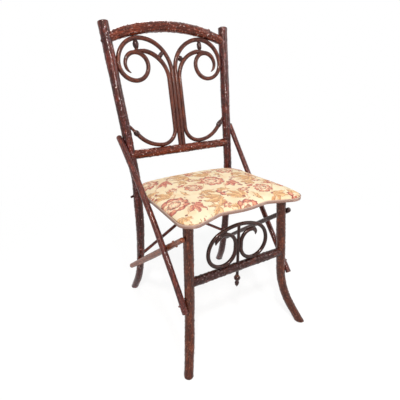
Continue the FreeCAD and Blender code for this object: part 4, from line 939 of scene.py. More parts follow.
class Workshop:
    """Hands out materials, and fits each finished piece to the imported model."""

    def __init__(self, finishes: Finishes) -> None:
        """Keep the finishes; a material is made when it is first asked for."""
        self.finishes = finishes
        self.made: dict[str, bpy.types.Material] = {}

    def material(self, finish: str) -> bpy.types.Material:
        """Return the material of a finish."""
        if finish not in self.made:
            self.made[finish] = getattr(self.finishes, finish).make(f"{finish}_finish")
        return self.made[finish]

    def fit(self, piece: bpy.types.Object, nodes: Sequence[str],
            finishes: Sequence[str]) -> None:
        """Dress a piece, let it ride on the chair and stand for its nodes, and report how far it departs.

        Args:
            piece: The finished piece.
            nodes: The nodes that it stands for.
            finishes: The finishes of its material slots, in order.
        """
        for finish in finishes:
            piece.data.materials.append(self.material(finish))
        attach(piece, BODY)
        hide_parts(*nodes)
        boxes = [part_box(node) for node in nodes]
        corners = [piece.matrix_world @ Vector(corner) for corner in piece.bound_box]
        off = max(abs(pick(corner[axis] for corner in corners) - pick(box[end][axis] for box in boxes))
                  for axis in range(3) for end, pick in ((0, min), (1, max)))
        log.info("%s stands for %s, %.1f mm off its box, %d faces", piece.name, ", ".join(nodes),
                 off * 1000, len(piece.data.polygons))

    def stick(self, node: str, line: Line, radius: Radius, bark: Bark, ends: tuple[End, End], seed: float,
              slot: str, finish: str, nubs: Sequence[Nub] = (),
              cuts: Sequence[tuple[float, bool]] = ()) -> None:
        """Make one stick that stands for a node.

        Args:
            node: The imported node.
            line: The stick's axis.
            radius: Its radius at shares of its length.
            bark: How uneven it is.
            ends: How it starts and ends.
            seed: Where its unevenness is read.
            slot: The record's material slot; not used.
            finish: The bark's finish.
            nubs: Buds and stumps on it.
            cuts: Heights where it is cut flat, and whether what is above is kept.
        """
        stock = Stock()
        stock.sweep(line, radius, bark, ends, seed, nubs)
        piece = stock.make(f"{node}_stick")
        for height, keep_above in cuts:
            cut_flat(piece, height, keep_above)
        self.fit(piece, [node], (finish, "cut"))


# The chair

@dataclass
class Uprights:
    """The back posts and the front legs."""

    height: float = 0.917
    post_thick: float = 0.0285
    half_gap: float = 0.1844
    splay: float = 3.6
    rake: float = 11.0
    turn: float = 15.7
    tilt: float = 0.8
    bend_height: float = 0.453
    bend_radius: float = 0.120
    sweep_height: float = 0.331
    sweep_radius: float = 1.060
    sweep_turn: float = 12.2
    kick_radius: float = 0.262
    kick_turn: float = 16.5
    rail_height: float = 0.5315
    set_back: float = 0.1639
    leg_thick: float = 0.028
    leg_half_gap: float = 0.1581
    leg_set_forward: float = 0.1612
    leg_turn: float = 33.6
    leg_splay: float = 4.1
    leg_bend_height: float = 0.181
    leg_bend_radius: float = 0.278
    leg_bend_turn: float = 28.4
    board_underside: float = 0.430
    leg_tenon: float = 0.005
    overrun: float = 0.030
    post_thicks: tuple[float, ...] = (0.0325, 0.0315, 0.0290, 0.0275, 0.0266)
    leg_thicks: tuple[float, ...] = (0.0292, 0.0290, 0.0280, 0.0268)
    posts: dict[str, Line] = field(default_factory=dict)
    legs: dict[str, Line] = field(default_factory=dict)

    def __post_init__(self) -> None:
        """Work out the four lines."""
        for word, side in SIDES.items():
            self.posts[word] = self._post_line(side)
            self.legs[word] = self._leg_line(side)

    def in_back(self, side: int, across: float, up: float) -> Vector:
        """Return the point of the chair at a place in the plane of the back."""
        return Vector((0.0, self.set_back, self.rail_height)) + self.along_back(side, across, up)

    def along_back(self, side: int, across: float, up: float) -> Vector:
        """Return a direction of the chair from one in the plane of the back."""
        rake = math.radians(self.rake)
        return Vector((side * across, up * math.sin(rake), up * math.cos(rake)))

    def rise(self, side: int) -> Vector:
        """Return the upward direction of a post above the seat."""
        splay = math.radians(self.splay)
        return self.along_back(side, math.sin(splay), math.cos(splay))

    def _post_line(self, side: int) -> Line:
        """Walk a back post from its top to just under the floor."""
        start = Vector((side * self.half_gap, self.set_back, self.rail_height))
        rise = self.rise(side)
        turn = math.radians(self.turn)
        outward = Vector((side * math.sin(turn), math.cos(turn), 0.0))
        upright = (rise - outward * rise.dot(outward)).normalized()
        lean = math.degrees(rise.angle(upright))
        top = self.height - self.post_thick / 2 * math.sin(rise.angle(UP))
        above = (top - start.z) / rise.z
        swing = lean + self.tilt
        reach = self.bend_radius * math.tan(math.radians(swing / 2))
        place = (above * math.sin(math.radians(lean)), above * math.cos(math.radians(lean)))
        path = Path(start, outward, upright, place, -90 - lean)
        path.run(above + (start.z - self.bend_height) / rise.z - reach).bend(self.bend_radius, swing)
        path.run((self.bend_height - self.sweep_height) / math.cos(math.radians(self.tilt)) - reach)
        path.bend(self.sweep_radius, self.sweep_turn).bend(self.kick_radius, self.kick_turn)
        path.run(self.sweep_height)
        return self._until(path.line(), -self.overrun)

    def _leg_line(self, side: int) -> Line:
        """Walk a front leg from its tenon to just under the floor."""
        turn = math.radians(self.leg_turn)
        outward = Vector((side * math.sin(turn), -math.cos(turn), 0.0))
        lean = math.radians(self.leg_splay)
        top = Vector((side * self.leg_half_gap, -self.leg_set_forward, self.board_underside))
        above = self.overrun
        start = (-above * math.sin(lean), above * math.cos(lean))
        path = Path(top, outward, UP, start, self.leg_splay - 90)
        path.run(above + (top.z - self.leg_bend_height) / math.cos(lean))
        path.bend(self.leg_bend_radius, self.leg_bend_turn).run(self.leg_bend_height)
        return self._until(path.line(), -self.overrun)

    @staticmethod
    def _until(line: Line, height: float) -> Line:
        """Return the stretch of a falling line that is above a height."""
        return [spot for spot in line if spot.z > height]

    def build(self, shop: Workshop) -> None:
        """Make the posts and the legs, with their stumps and buds."""
        post_nubs = {
            "left": (Nub(0.050, (-1.0, -0.2, 0.0), 0.002, 0.008),
                     Nub(0.33, (0.4, -1.0, 0.0), 0.0005, 0.008),
                     Nub(0.535, (-1.0, -0.3, 0.1), 0.011, 0.0075),
                     Nub(0.44, (-0.5, -1.0, 0.0), 0.0005, 0.007)),
            "right": (Nub(0.2, (-0.3, -1.0, 0.0), 0.0005, 0.007),
                      Nub(0.37, (-0.6, -1.0, 0.0), 0.0005, 0.007)),
        }
        leg_nubs = {
            "left": (Nub(0.505, (-1.0, 0.1, 0.1), 0.002, 0.007),
                     Nub(0.22, (-0.4, -1.0, 0.0), 0.0005, 0.008)),
            "right": (Nub(0.30, (-0.6, -1.0, 0.0), 0.0005, 0.008),),
        }
        for number, word in enumerate(SIDES):
            shop.stick(f"back_post_{word}", self.posts[word], taper(*self.post_thicks), ROUGH_BARK,
                       (End.CUT, End.SUNK), 1.7 + number, "barked_stick", "stick", post_nubs[word],
                       [(0.0, True)])
            shop.stick(f"front_leg_{word}", self.legs[word], taper(*self.leg_thicks), ROUGH_BARK,
                       (End.SUNK, End.SUNK), 4.2 + number, "barked_stick", "leg", leg_nubs[word],
                       [(0.0, True), (self.board_underside + self.leg_tenon, False)])


@dataclass
class Rails:
    """The crest rail, the lower back rail, the rear seat rail and the front stretcher."""

    uprights: Uprights
    crest_thick: float = 0.034
    crest_radius: float = 0.549
    crest_rise: float = 0.3856
    tenon_past: float = 0.004
    seat_rail_height: float = 0.4162
    stretcher_height: float = 0.244
    crest_thicks: tuple[float, ...] = (0.0290, 0.0325, 0.0340, 0.0325, 0.0272)
    low_thicks: tuple[float, ...] = (0.0290, 0.0290, 0.0280, 0.0265)

    @property
    def crest_centre(self) -> float:
        """Return how high in the back's plane the middle of the crest's arc lies."""
        return self.crest_rise - self.crest_radius

    def crest_line(self) -> Line:
        """Return the crest's arch, from post to post."""
        splay = math.radians(self.uprights.splay)
        reach = (self.uprights.half_gap + self.crest_centre * math.tan(splay)) * math.cos(splay)
        opening = self.uprights.splay + math.degrees(math.asin(reach / self.crest_radius))
        return [self.uprights.in_back(1, self.crest_radius * math.sin(math.radians(angle)),
                                      self.crest_centre + self.crest_radius * math.cos(math.radians(angle)))
                for angle in np.linspace(-opening, opening, 120)]

    def build(self, shop: Workshop) -> None:
        """Make the four rails; each runs into its posts as far as its tenon does."""
        ends = (End.SUNK, End.SUNK)
        shop.stick("crest_rail", self.crest_line(), taper(*self.crest_thicks), KNOBBLY_BARK, ends, 8.1,
                   "barked_stick", "crest", (Nub(0.84, (0.0, -0.2, 1.0), 0.001, 0.009),))
        across = self.uprights.half_gap + self.tenon_past
        low = [self.uprights.in_back(side, across, 0.0) for side in SIDES.values()]
        shop.stick("lower_back_rail", straight(*low), taper(*self.low_thicks), KNOBBLY_BARK, ends, 9.4,
                   "barked_stick", "crest")
        for node, lines, height, thick, seed in (
                ("rear_seat_rail", self.uprights.posts, self.seat_rail_height, 0.024, 10.9),
                ("front_stretcher", self.uprights.legs, self.stretcher_height, 0.026, 12.3)):
            spots = [at_height(lines[word], height)[0] + ACROSS * side * self.tenon_past
                     for word, side in SIDES.items()]
            shop.stick(node, straight(*spots), taper(thick, thick * 1.02, thick), KNOBBLY_BARK, ends, seed,
                       "barked_stick", "dark", (Nub(0.14, (0.0, -1.0, 0.7), 0.0005, 0.009),))


@dataclass
class BackScroll:
    """The bent rods of the back, with their beads and knobs."""

    uprights: Uprights
    rails: Rails
    rod_thick: float = 0.0123
    gap: float = 0.0003
    rail_thick: float = 0.0284
    crest_share: float = 0.96
    volute_radius: float = 0.074
    volute_shares: tuple[float, ...] = (0.69, 0.595, 0.527, 0.473, 0.38)
    tip_turn: float = 60.0
    curl_arch_radius: float = 0.088
    curl_foot_radius: float = 0.050
    curl_sweep_radius: float = 0.105
    curl_sweep_turn: float = 50.0
    scarf_rise: float = 0.005
    neck_thick: float = 0.009
    neck_past: float = 0.002
    neck_back: float = 0.003
    crown_sunk: float = 0.0006
    knobs: dict[str, tuple[float, tuple[float, ...]]] = field(default_factory=lambda: {
        "left": (0.0175, (0.0125, 0.0172, 0.0186, 0.0175, 0.0125)),
        "right": (0.026, (0.0130, 0.0176, 0.0186, 0.0172, 0.0130))})
    crowns: dict[str, tuple[float, tuple[float, ...]]] = field(default_factory=lambda: {
        "left": (0.011, (0.0110, 0.0165, 0.0190, 0.0190, 0.0160, 0.0115)),
        "right": (0.0, (0.0095, 0.0150, 0.0165, 0.0160, 0.0135, 0.0095))})
    throats: dict[str, tuple[float, tuple[float, ...]]] = field(default_factory=lambda: {
        "left": (42.0, (0.0105, 0.0134, 0.0136, 0.0130, 0.0105)),
        "right": (50.0, (0.0120, 0.0165, 0.0178, 0.0165, 0.0120))})

    def __post_init__(self) -> None:
        """Work out where the rods touch the crest, the post and each other."""
        rod, up = self.rod_thick / 2, self.uprights
        splay = math.radians(up.splay)
        slope = math.tan(splay)
        to_post = self.volute_radius + rod + up.post_thick / 2 + self.gap
        to_crest = self.rails.crest_radius - self.rails.crest_thick / 2 * self.crest_share \
            - self.volute_radius - rod - self.gap
        inner = up.half_gap - to_post / math.cos(splay)
        centre = self.rails.crest_centre
        term = inner * slope - centre
        self.rod = rod
        self.stem = rod + self.gap / 2
        self.curl_stem = 3 * rod + 1.5 * self.gap
        steep = 1 + slope ** 2
        under = term ** 2 - steep * (inner ** 2 + centre ** 2 - to_crest ** 2)
        self.ring_v = (-term + math.sqrt(under)) / steep
        self.ring_u = inner + slope * self.ring_v
        self.arch_radius = self.ring_u - self.stem
        self.radii = radii = [self.volute_radius * share for share in self.volute_shares]
        self.scarf_u = self.ring_u + self.volute_radius - radii[0] - radii[1] + radii[2]
        scarf_v = self.ring_v - radii[0] + radii[1]
        self.curl_top = scarf_v + radii[2] + self.scarf_rise
        self.curl_bottom = self.rail_thick / 2 + self.gap + rod

    def _path(self, side: int, start: tuple[float, float], heading: float) -> Path:
        """Start a walk in the plane of the back, as seen with its own side outward."""
        return Path(self.uprights.in_back(side, 0.0, 0.0), self.uprights.along_back(side, 1.0, 0.0),
                    self.uprights.along_back(side, 0.0, 1.0), start, heading)

    def volute_line(self, side: int) -> Line:
        """Walk a volute rod: up the middle, over the arch, down and into the spiral."""
        start = self.rail_thick / 4
        path = self._path(side, (self.stem, start), 90.0)
        path.run(self.ring_v + self.volute_radius - self.arch_radius - start)
        path.bend(self.arch_radius, -90.0).bend(self.volute_radius, -90.0)
        for radius in self.radii[:-1]:
            path.bend(radius, -90.0)
        return path.bend(self.radii[-1], -self.tip_turn).line(ROD_STEP)

    def curl_line(self, side: int) -> Line:
        """Walk a curl rod: from its scarf over its arch, down the stem and out along the rail."""
        path = self._path(side, (self.scarf_u, self.curl_top), 180.0)
        path.run(self.scarf_u - self.curl_stem - self.curl_arch_radius).bend(self.curl_arch_radius, 90.0)
        path.run(self.curl_top - self.curl_arch_radius - self.curl_bottom - self.curl_foot_radius)
        path.bend(self.curl_foot_radius, 90.0).bend(self.curl_sweep_radius, self.curl_sweep_turn)
        return path.line(ROD_STEP)

    def throat(self, side: int, lean: float) -> tuple[Vector, Vector, float, float]:
        """Return the middle of the curl's arch, a bead's direction from it, and both arches' reach."""
        drop = self.curl_top - self.curl_arch_radius - (self.ring_v + self.volute_radius - self.arch_radius)
        aside = self.curl_stem + self.curl_arch_radius - self.ring_u
        turn = math.radians(lean)
        term = -aside * math.sin(turn) + drop * math.cos(turn)
        reach = self.arch_radius - self.rod
        far = -term + math.sqrt(term ** 2 - aside ** 2 - drop ** 2 + reach ** 2)
        centre = self.uprights.in_back(side, self.curl_stem + self.curl_arch_radius,
                                       self.curl_top - self.curl_arch_radius)
        way = self.uprights.along_back(side, -math.sin(turn), math.cos(turn))
        return centre, way, self.curl_arch_radius + self.rod, far

    def build(self, shop: Workshop) -> None:
        """Make the rods, the knobs at their ends and the beads between their arches."""
        up = self.uprights
        rod_taper = taper(1.12, 1.12, 0.8, 0.3, at=(0.0, 0.92, 0.98, 1.0), unit=self.rod_thick)
        curl_taper = taper(0.45, 1.12, 1.12, at=(0.0, 0.07, 1.0), unit=self.rod_thick)
        for number, (word, side) in enumerate(SIDES.items()):
            shop.stick(f"volute_rod_{word}", self.volute_line(side), rod_taper, SMOOTH_BARK,
                       (End.SUNK, End.TIP), 14.6 + number, "bent_rod", "rod")
            line = self.curl_line(side)
            lean = (line[-1] - line[-2]).normalized()
            clear = (at_height(up.posts[word], line[-1].z)[0] - line[-1]).length
            neck = straight(line[-1], line[-1] + lean * (clear + self.neck_past), 20)[1:]
            stock = Stock()
            stock.sweep(line, curl_taper, SMOOTH_BARK, (End.TIP, End.CUT), 17.1 + number)
            stock.sweep([line[-1] - lean * self.neck_back] + neck, taper(self.neck_thick, self.neck_thick),
                        SMOOTH_BARK, (End.SUNK, End.SUNK), 19.2 + number)
            shop.fit(stock.make(f"curl_rod_{word}_stick"), [f"curl_rod_{word}"], ("rod", "cut"))
            long, profile = self.knobs[word]
            start = line[-1] + lean * self.gap
            self._bead(shop, f"curl_knob_{word}", start, start + lean * long, profile, 21.0 + number)
            aside, profile = self.crowns[word]
            arch = math.sqrt((self.volute_radius - self.rod) ** 2 - aside ** 2)
            low, high = [up.in_back(side, self.ring_u + aside, height)
                         for height in (self.curl_top + self.rod - self.crown_sunk,
                                        self.ring_v + self.crown_sunk + arch)]
            self._bead(shop, f"crown_bead_{word}", low, high, profile, 23.0 + number)
            turn, profile = self.throats[word]
            centre, way, near, far = self.throat(side, turn)
            self._bead(shop, f"throat_bead_{word}", centre + way * near, centre + way * far, profile,
                       25.0 + number)

    def _bead(self, shop: Workshop, node: str, low: Vector, high: Vector, thicknesses: tuple[float, ...],
              seed: float) -> None:
        """Whittle a bead between two points."""
        stations = np.linspace(0.0, 1.0, len(thicknesses))
        bend = np.polyfit(stations, thicknesses, len(thicknesses) - 1)
        shop.stick(node, straight(low, high, 24), lambda share: np.polyval(bend, share) / 2, WARTY_BARK,
                   (End.CUT, End.CUT), seed, "bent_rod", "dark")


@dataclass
class FrontScroll:
    """The bent rod that stands on the front stretcher, with its drop rod and finial."""

    uprights: Uprights
    rails: Rails
    thick: float = 0.010
    gap: float = 0.0003
    stretcher_thick: float = 0.026
    high: float = 0.1185
    aside: float = 0.004
    arch_radius: float = 0.155
    arch_turn: float = 25.0
    shoulder_radius: float = 0.062
    inner_run: float = 0.015
    curls: dict[str, tuple[float, float, float]] = field(default_factory=lambda: {
        "left": (0.040, 0.027, 80.0), "right": (0.035, 0.017, 105.0)})
    drop_thick: float = 0.009
    drop_below: float = 0.019
    knob_long: float = 0.016
    drop_long: float = 0.020
    socket_deep: float = 0.010

    def build(self, shop: Workshop) -> None:
        """Make the scroll, the drop rod and the finial."""
        level = at_height(self.uprights.legs["left"], self.rails.stretcher_height)[0].y
        rod = self.thick / 2
        base = self.rails.stretcher_height + self.stretcher_thick / 2 + self.gap + rod
        turn = math.radians(self.arch_turn)
        side_radius = self.high - self.arch_radius * (1 - math.cos(turn)) \
            - self.shoulder_radius * math.cos(turn)
        foot = self.arch_radius * math.sin(turn) + self.shoulder_radius * (1 - math.sin(turn)) - side_radius
        inner_radius = foot - self.drop_thick / 2 - self.gap - rod
        halves = []
        for word, side in SIDES.items():
            top_radius, beak_radius, beak_turn = self.curls[word]
            path = Path(Vector((-self.aside, level, base)), ACROSS * side, UP, (0.0, self.high), 0.0)
            path.bend(self.arch_radius, -self.arch_turn).bend(self.shoulder_radius, self.arch_turn - 90)
            path.bend(side_radius, -90.0).bend(inner_radius, -90.0).run(self.inner_run)
            halves.append(path.bend(top_radius, -90.0).bend(beak_radius, -beak_turn).line(ROD_STEP))
        line = halves[0][::-1] + halves[1][1:]
        shape = taper(0.45, 1.1, 1.45, 1.14, 1.14, 1.45, 1.0, 0.3,
                      at=(0.0, 0.012, 0.028, 0.06, 0.94, 0.972, 0.988, 1.0), unit=self.thick)
        shop.stick("front_scroll", line, shape, SMOOTH_BARK, (End.CUT, End.TIP), 27.4, "bent_rod", "scroll")
        axis = Vector((-self.aside, level, 0.0))
        top = base + self.high - rod
        low = self.rails.stretcher_height - self.stretcher_thick / 2 - self.drop_below
        shop.stick("drop_rod", straight(axis + UP * top, axis + UP * (low - self.socket_deep)),
                   taper(self.drop_thick, self.drop_thick), SMOOTH_BARK, (End.CUT, End.SUNK), 28.8,
                   "bent_rod", "scroll")
        turning = taper(0.0135, 0.0195, 0.0210, 0.0165, 0.0090, 0.0110, 0.0145, 0.0125, 0.0080, 0.0050,
                        at=(0.0, 0.12, 0.24, 0.36, 0.44, 0.52, 0.66, 0.82, 0.94, 1.0))
        tip = low - self.knob_long - self.drop_long
        shop.stick("drop_finial", straight(axis + UP * low, axis + UP * tip, 40), turning, WARTY_BARK,
                   (End.CUT, End.TIP), 29.7, "bent_rod", "dark")


@dataclass
class Braces:
    """The short and the long side braces, and the two that cross behind."""

    uprights: Uprights
    gap: float = 0.0003
    long_thick: float = 0.0175
    long_top: float = 0.581
    long_foot: float = 0.177
    long_overhang: float = 0.014
    short_thick: float = 0.016
    short_rear: float = 0.131
    short_front: float = 0.375
    short_overhangs: tuple[float, float] = (0.030, 0.011)
    short_bow: float = 0.005
    crossing_shares: dict[str, float] = field(default_factory=lambda: {"left": 0.785, "right": 0.685})
    cross_thick: float = 0.010
    cross_low: float = 0.165
    cross_high: float = 0.393
    cross_socket: float = 0.008
    settling_rounds: int = 12

    def _short(self, word: str, side: int) -> list[Vector]:
        """Find the three points of a short brace: on the post, in the middle and on the leg."""
        up = self.uprights
        rear, rear_rise = at_height(up.posts[word], self.short_rear)
        front, front_rise = at_height(up.legs[word], self.short_front)
        inward = ACROSS * -side * self.short_bow
        reach = [(thick + self.short_thick) / 2 + self.gap for thick in (up.post_thick, up.leg_thick)]
        points = [rear, (rear + front) / 2 + inward, front]
        for _ in range(self.settling_rounds):
            centre, normal = arc_through(points)
            squares = [outside(side, rise, normal.cross(point - centre))
                       for rise, point in ((rear_rise, points[0]), (front_rise, points[2]))]
            ends = [rear + squares[0] * reach[0], front + squares[1] * reach[1]]
            points = [ends[0], (ends[0] + ends[1]) / 2 + inward, ends[1]]
        return points

    def _long(self, word: str, side: int, short: list[Vector]) -> list[Vector]:
        """Find the three points of a long brace: on the post, over the short brace and on the leg."""
        up = self.uprights
        centre, normal = arc_through(short)
        opening = math.degrees((short[0] - centre).angle(short[2] - centre))
        spoke = turned(short[0] - centre, opening * self.crossing_shares[word], normal)
        crossing, short_way = centre + spoke, normal.cross(spoke).normalized()
        top, top_rise = at_height(up.posts[word], self.long_top)
        foot, foot_rise = at_height(up.legs[word], self.long_foot)
        reach = [(thick + self.long_thick) / 2 + self.gap
                 for thick in (up.post_thick, self.short_thick, up.leg_thick)]
        points = [top, crossing + ACROSS * side * reach[1], foot]
        for _ in range(self.settling_rounds):
            centre, normal = arc_through(points)
            squares = [outside(side, rise, normal.cross(point - centre))
                       for rise, point in zip((top_rise, short_way, foot_rise), points)]
            points = [spot + square * far
                      for spot, square, far in zip((top, crossing, foot), squares, reach)]
        return points

    def build(self, shop: Workshop) -> None:
        """Make the six braces."""
        cut = (End.CUT, End.CUT)
        shapes = {"left": taper(0.0176, 0.0190, 0.0204, 0.0186, 0.0145),
                  "right": taper(0.0156, 0.0158, 0.0140, 0.0160, 0.0168, 0.0156,
                                 at=(0.0, 0.5, 0.93, 0.96, 0.98, 1.0))}
        rounded = (End.ROUND, End.ROUND)
        long_nubs = {"left": (Nub(0.955, (-1.0, 0.0, 0.0), 0.003, 0.005),
                              Nub(0.45, (-0.6, -1.0, 0.2), 0.0005, 0.006)),
                     "right": (Nub(0.93, (1.0, 0.0, 0.0), 0.003, 0.005),)}
        short_nubs = {"left": (Nub(0.86, (0.0, 0.3, 1.0), 0.0005, 0.006),
                               Nub(0.89, (0.0, 0.2, -1.0), 0.0005, 0.006)),
                      "right": ()}
        for number, (word, side) in enumerate(SIDES.items()):
            short = self._short(word, side)
            finish, slot = ("pale", "pale_twig") if word == "left" else ("dark", "barked_stick")
            shop.stick(f"short_brace_{word}", bowed(short, self.short_overhangs), shapes[word], BRACE_BARK,
                       rounded, 31.5 + number, slot, finish, short_nubs[word])
            overhangs = (self.long_overhang, self.long_overhang)
            shop.stick(f"long_brace_{word}", bowed(self._long(word, side, short), overhangs),
                       taper(0.0175, 0.0180, 0.0178, 0.0172), BRACE_BARK, cut, 34.2 + number,
                       "barked_stick", "brace", long_nubs[word])
        lines = self.uprights.posts
        bow = self.cross_thick / 2 + self.gap / 2
        for name, low, high, hand, seed in (("front", "left", "right", -1, 37.0),
                                            ("rear", "right", "left", 1, 38.5)):
            first = at_height(lines[low], self.cross_low)[0]
            last = at_height(lines[high], self.cross_high)[0]
            way = (last - first).normalized()
            inset = self.uprights.post_thick / 2 - self.cross_socket
            middle = (first + last) / 2 + Vector((0.0, hand * bow, 0.0))
            points = [first + way * inset, middle, last - way * inset]
            shop.stick(f"cross_brace_{name}", bowed(points), taper(0.0108, 0.0114, 0.0106), SMOOTH_BARK,
                       (End.SUNK, End.SUNK), seed, "barked_stick", "brace")


@dataclass
class Seat:
    """The upholstered seat: stuffing, printed cloth and a braid round its edge."""

    underside: float = 0.4285
    board_thick: float = 0.010
    cloth_thick: float = 0.0015
    edge_high: float = 0.0035
    crown_high: float = 0.012
    hem_wide: float = 0.014
    gimp_wide: float = 0.010
    gimp_thick: float = 0.0018
    gimp_rise: float = 0.0015
    gap: float = 0.0003
    under_cloth: float = 0.004
    half_wide: float = 0.199
    front_reach: float = 0.2006
    crown_middle: float = -0.0381
    radii: dict[str, float] = field(default_factory=lambda: {
        "corner": 0.072, "waist": 0.600, "lobe": 0.038, "dip": 0.045, "front": 0.200})
    corner_in: float = 0.0025
    rear_reach: float = 0.1484
    waist_forward: float = 0.0901
    lobe_flare: float = 0.002
    lobe_forward: float = 0.0195
    dip_half_gap: float = 0.072
    dip_deep: float = 0.0085
    crown_shares: tuple[float, ...] = (1.0, 0.985, 0.95, 0.88, 0.76, 0.6, 0.42, 0.24, 0.1)
    crown_rises: tuple[float, ...] = (0.0, 0.22, 0.45, 0.66, 0.82, 0.91, 0.96, 0.99, 1.0)
    around: int = 420
    pressure: float = 4.0
    voxel: float = 0.005
    swell_cap: float = 0.006
    frames: int = 20
    quality: int = 6
    stiffness: float = 12.0
    held_below: float = 0.002
    smoothing_rounds: int = 6
    fill: float = 0.8
    braid_step: float = 0.0012
    plait_long: float = 0.0052
    cord_long: float = 0.0031

    @property
    def board_base(self) -> float:
        """Return the height of the board's underside."""
        return self.underside + self.cloth_thick

    @property
    def side_top(self) -> float:
        """Return the height where the upright sides end and the crown starts."""
        return self.board_base + self.board_thick + self.edge_high

    def outline(self, inset: float, share: float = 1.0, step: float = 0.003) -> list[tuple[float, float]]:
        """Return points round the seat's edge.

        Args:
            inset: How far inside the edge they lie.
            share: How far the outline is shrunk towards the crown's middle.
            step: The space between the points.

        Returns:
            Points across and back, all the way round.
        """
        radii, wide = self.radii, self.half_wide
        centres = {
            "corner": (wide - self.corner_in - radii["corner"], self.rear_reach - radii["corner"]),
            "waist": (wide + radii["waist"], -self.waist_forward),
            "lobe": (wide + self.lobe_flare - radii["lobe"],
                     radii["lobe"] - self.front_reach - self.lobe_forward),
            "dip": (self.dip_half_gap, self.dip_deep - self.front_reach - radii["dip"]),
            "front": (0.0, radii["front"] - self.front_reach),
        }
        order = (("corner", -1), ("waist", -1), ("lobe", -1), ("dip", -1), ("front", 0),
                 ("dip", 1), ("lobe", 1), ("waist", 1), ("corner", 1))
        circles = []
        for kind, side in order:
            hollow = kind in ("waist", "dip")
            radius = (radii[kind] + (inset if hollow else -inset)) * share
            across, deep = centres[kind]
            middle = self.crown_middle
            circles.append((side * across * share, middle + (deep - middle) * share,
                            -radius if hollow else radius))
        headings = []
        for number, (across, deep, radius) in enumerate(circles):
            far = circles[(number + 1) % len(circles)]
            reach = math.hypot(far[0] - across, far[1] - deep)
            heading = math.atan2(far[1] - deep, far[0] - across)
            headings.append(heading + math.asin((radius - far[2]) / reach))
        spots = []
        for number, (across, deep, radius) in enumerate(circles):
            early, late = headings[number - 1], headings[number]
            swing = (late - early + math.pi) % (2 * math.pi) - math.pi
            if radius > 0 and swing < 0:
                swing += 2 * math.pi
            count = max(2, math.ceil(abs(swing * radius) / step))
            for part in range(count + 1):
                heading = early + swing * part / count
                spots.append((across + math.sin(heading) * radius, deep - math.cos(heading) * radius))
        return self._even(spots, step)

    @staticmethod
    def _even(spots: list[tuple[float, float]], step: float, count: int = 0) -> list[tuple[float, float]]:
        """Space the points of a closed line evenly, about a step apart or in a number of points."""
        ring = np.array(spots + spots[:1])
        gone = np.concatenate([[0.0], np.cumsum(np.linalg.norm(np.diff(ring, axis=0), axis=1))])
        walked = np.linspace(0.0, gone[-1], count or round(gone[-1] / step), endpoint=False)
        return [(float(np.interp(here, gone, ring[:, 0])), float(np.interp(here, gone, ring[:, 1])))
                for here in walked]

    def pad(self, name: str, inset: float, bottom: float, high: float) -> bpy.types.Object:
        """Loft a closed pad: a flat underside, upright sides and a crown.

        Args:
            name: The piece's name.
            inset: How far its sides lie inside the seat's edge.
            bottom: The height of its underside.
            high: How far its crown rises above the sides.

        Returns:
            The pad, with its grain kept as the place on the seat.
        """
        levels = [(0.5, bottom), (1.0, bottom), (1.0, (bottom + self.side_top) / 2)]
        levels += [(share, self.side_top + high * rise)
                   for share, rise in zip(self.crown_shares, self.crown_rises)]
        stock = Stock()
        rings = []
        for share, height in levels:
            spots = self._even(self.outline(inset, share), 0.0, self.around)
            ring = np.array([(across, deep, height) for across, deep in spots])
            rings.append(stock.add_ring(ring, ring))
        low, top = [stock.add_ring(np.array([[0.0, self.crown_middle, height]]), np.zeros((1, 3)))
                    for height in (bottom, self.side_top + high)]
        stock.close(rings[0], low, self.around, False, False)
        for first, second in zip(rings, rings[1:]):
            stock.bridge(first, second, self.around)
        stock.close(rings[-1], top, self.around, True, False)
        return stock.make(name)

    def swell(self, piece: bpy.types.Object) -> None:
        """Blow the pad up a little as cloth, held at its sides, and smooth the result."""
        remesh = piece.modifiers.new("remesh", "REMESH")
        remesh.mode = "VOXEL"
        remesh.voxel_size = self.voxel
        self._bake(piece)
        group = piece.vertex_groups.new(name="held")
        limit = self.side_top - self.held_below
        held = [vertex.index for vertex in piece.data.vertices if vertex.co.z < limit]
        group.add(held, 1.0, "REPLACE")
        rest = np.array([tuple(vertex.co) for vertex in piece.data.vertices])
        cloth = piece.modifiers.new("cloth", "CLOTH")
        cloth.settings.quality = self.quality
        cloth.settings.use_pressure = True
        cloth.settings.uniform_pressure_force = self.pressure
        cloth.settings.vertex_group_mass = "held"
        cloth.settings.effector_weights.gravity = 0.0
        cloth.settings.tension_stiffness = self.stiffness
        for number in range(1, self.frames + 1):
            bpy.context.scene.frame_set(number)
        self._bake(piece)
        bpy.context.scene.frame_set(1)
        moved = np.array([tuple(vertex.co) for vertex in piece.data.vertices])
        shift = moved - rest
        length = np.linalg.norm(shift, axis=1)
        shift *= np.minimum(1.0, self.swell_cap / np.maximum(length, 1e-9))[:, None]
        piece.data.vertices.foreach_set("co", (rest + shift).astype(np.float32).ravel())
        work = bmesh.new()
        work.from_mesh(piece.data)
        for _ in range(self.smoothing_rounds):
            bmesh.ops.smooth_vert(work, verts=work.verts[:], factor=0.5, use_axis_x=True, use_axis_y=True,
                                  use_axis_z=True)
        work.to_mesh(piece.data)
        work.free()
        log.info("%s swelled by at most %.1f mm as cloth", piece.name, float(length.max()) * 1000)

    @staticmethod
    def _bake(piece: bpy.types.Object) -> None:
        """Put the modified mesh in place of the piece's own and drop the modifiers."""
        graph = bpy.context.evaluated_depsgraph_get()
        mesh = bpy.data.meshes.new_from_object(piece.evaluated_get(graph))
        piece.modifiers.clear()
        piece.data = mesh

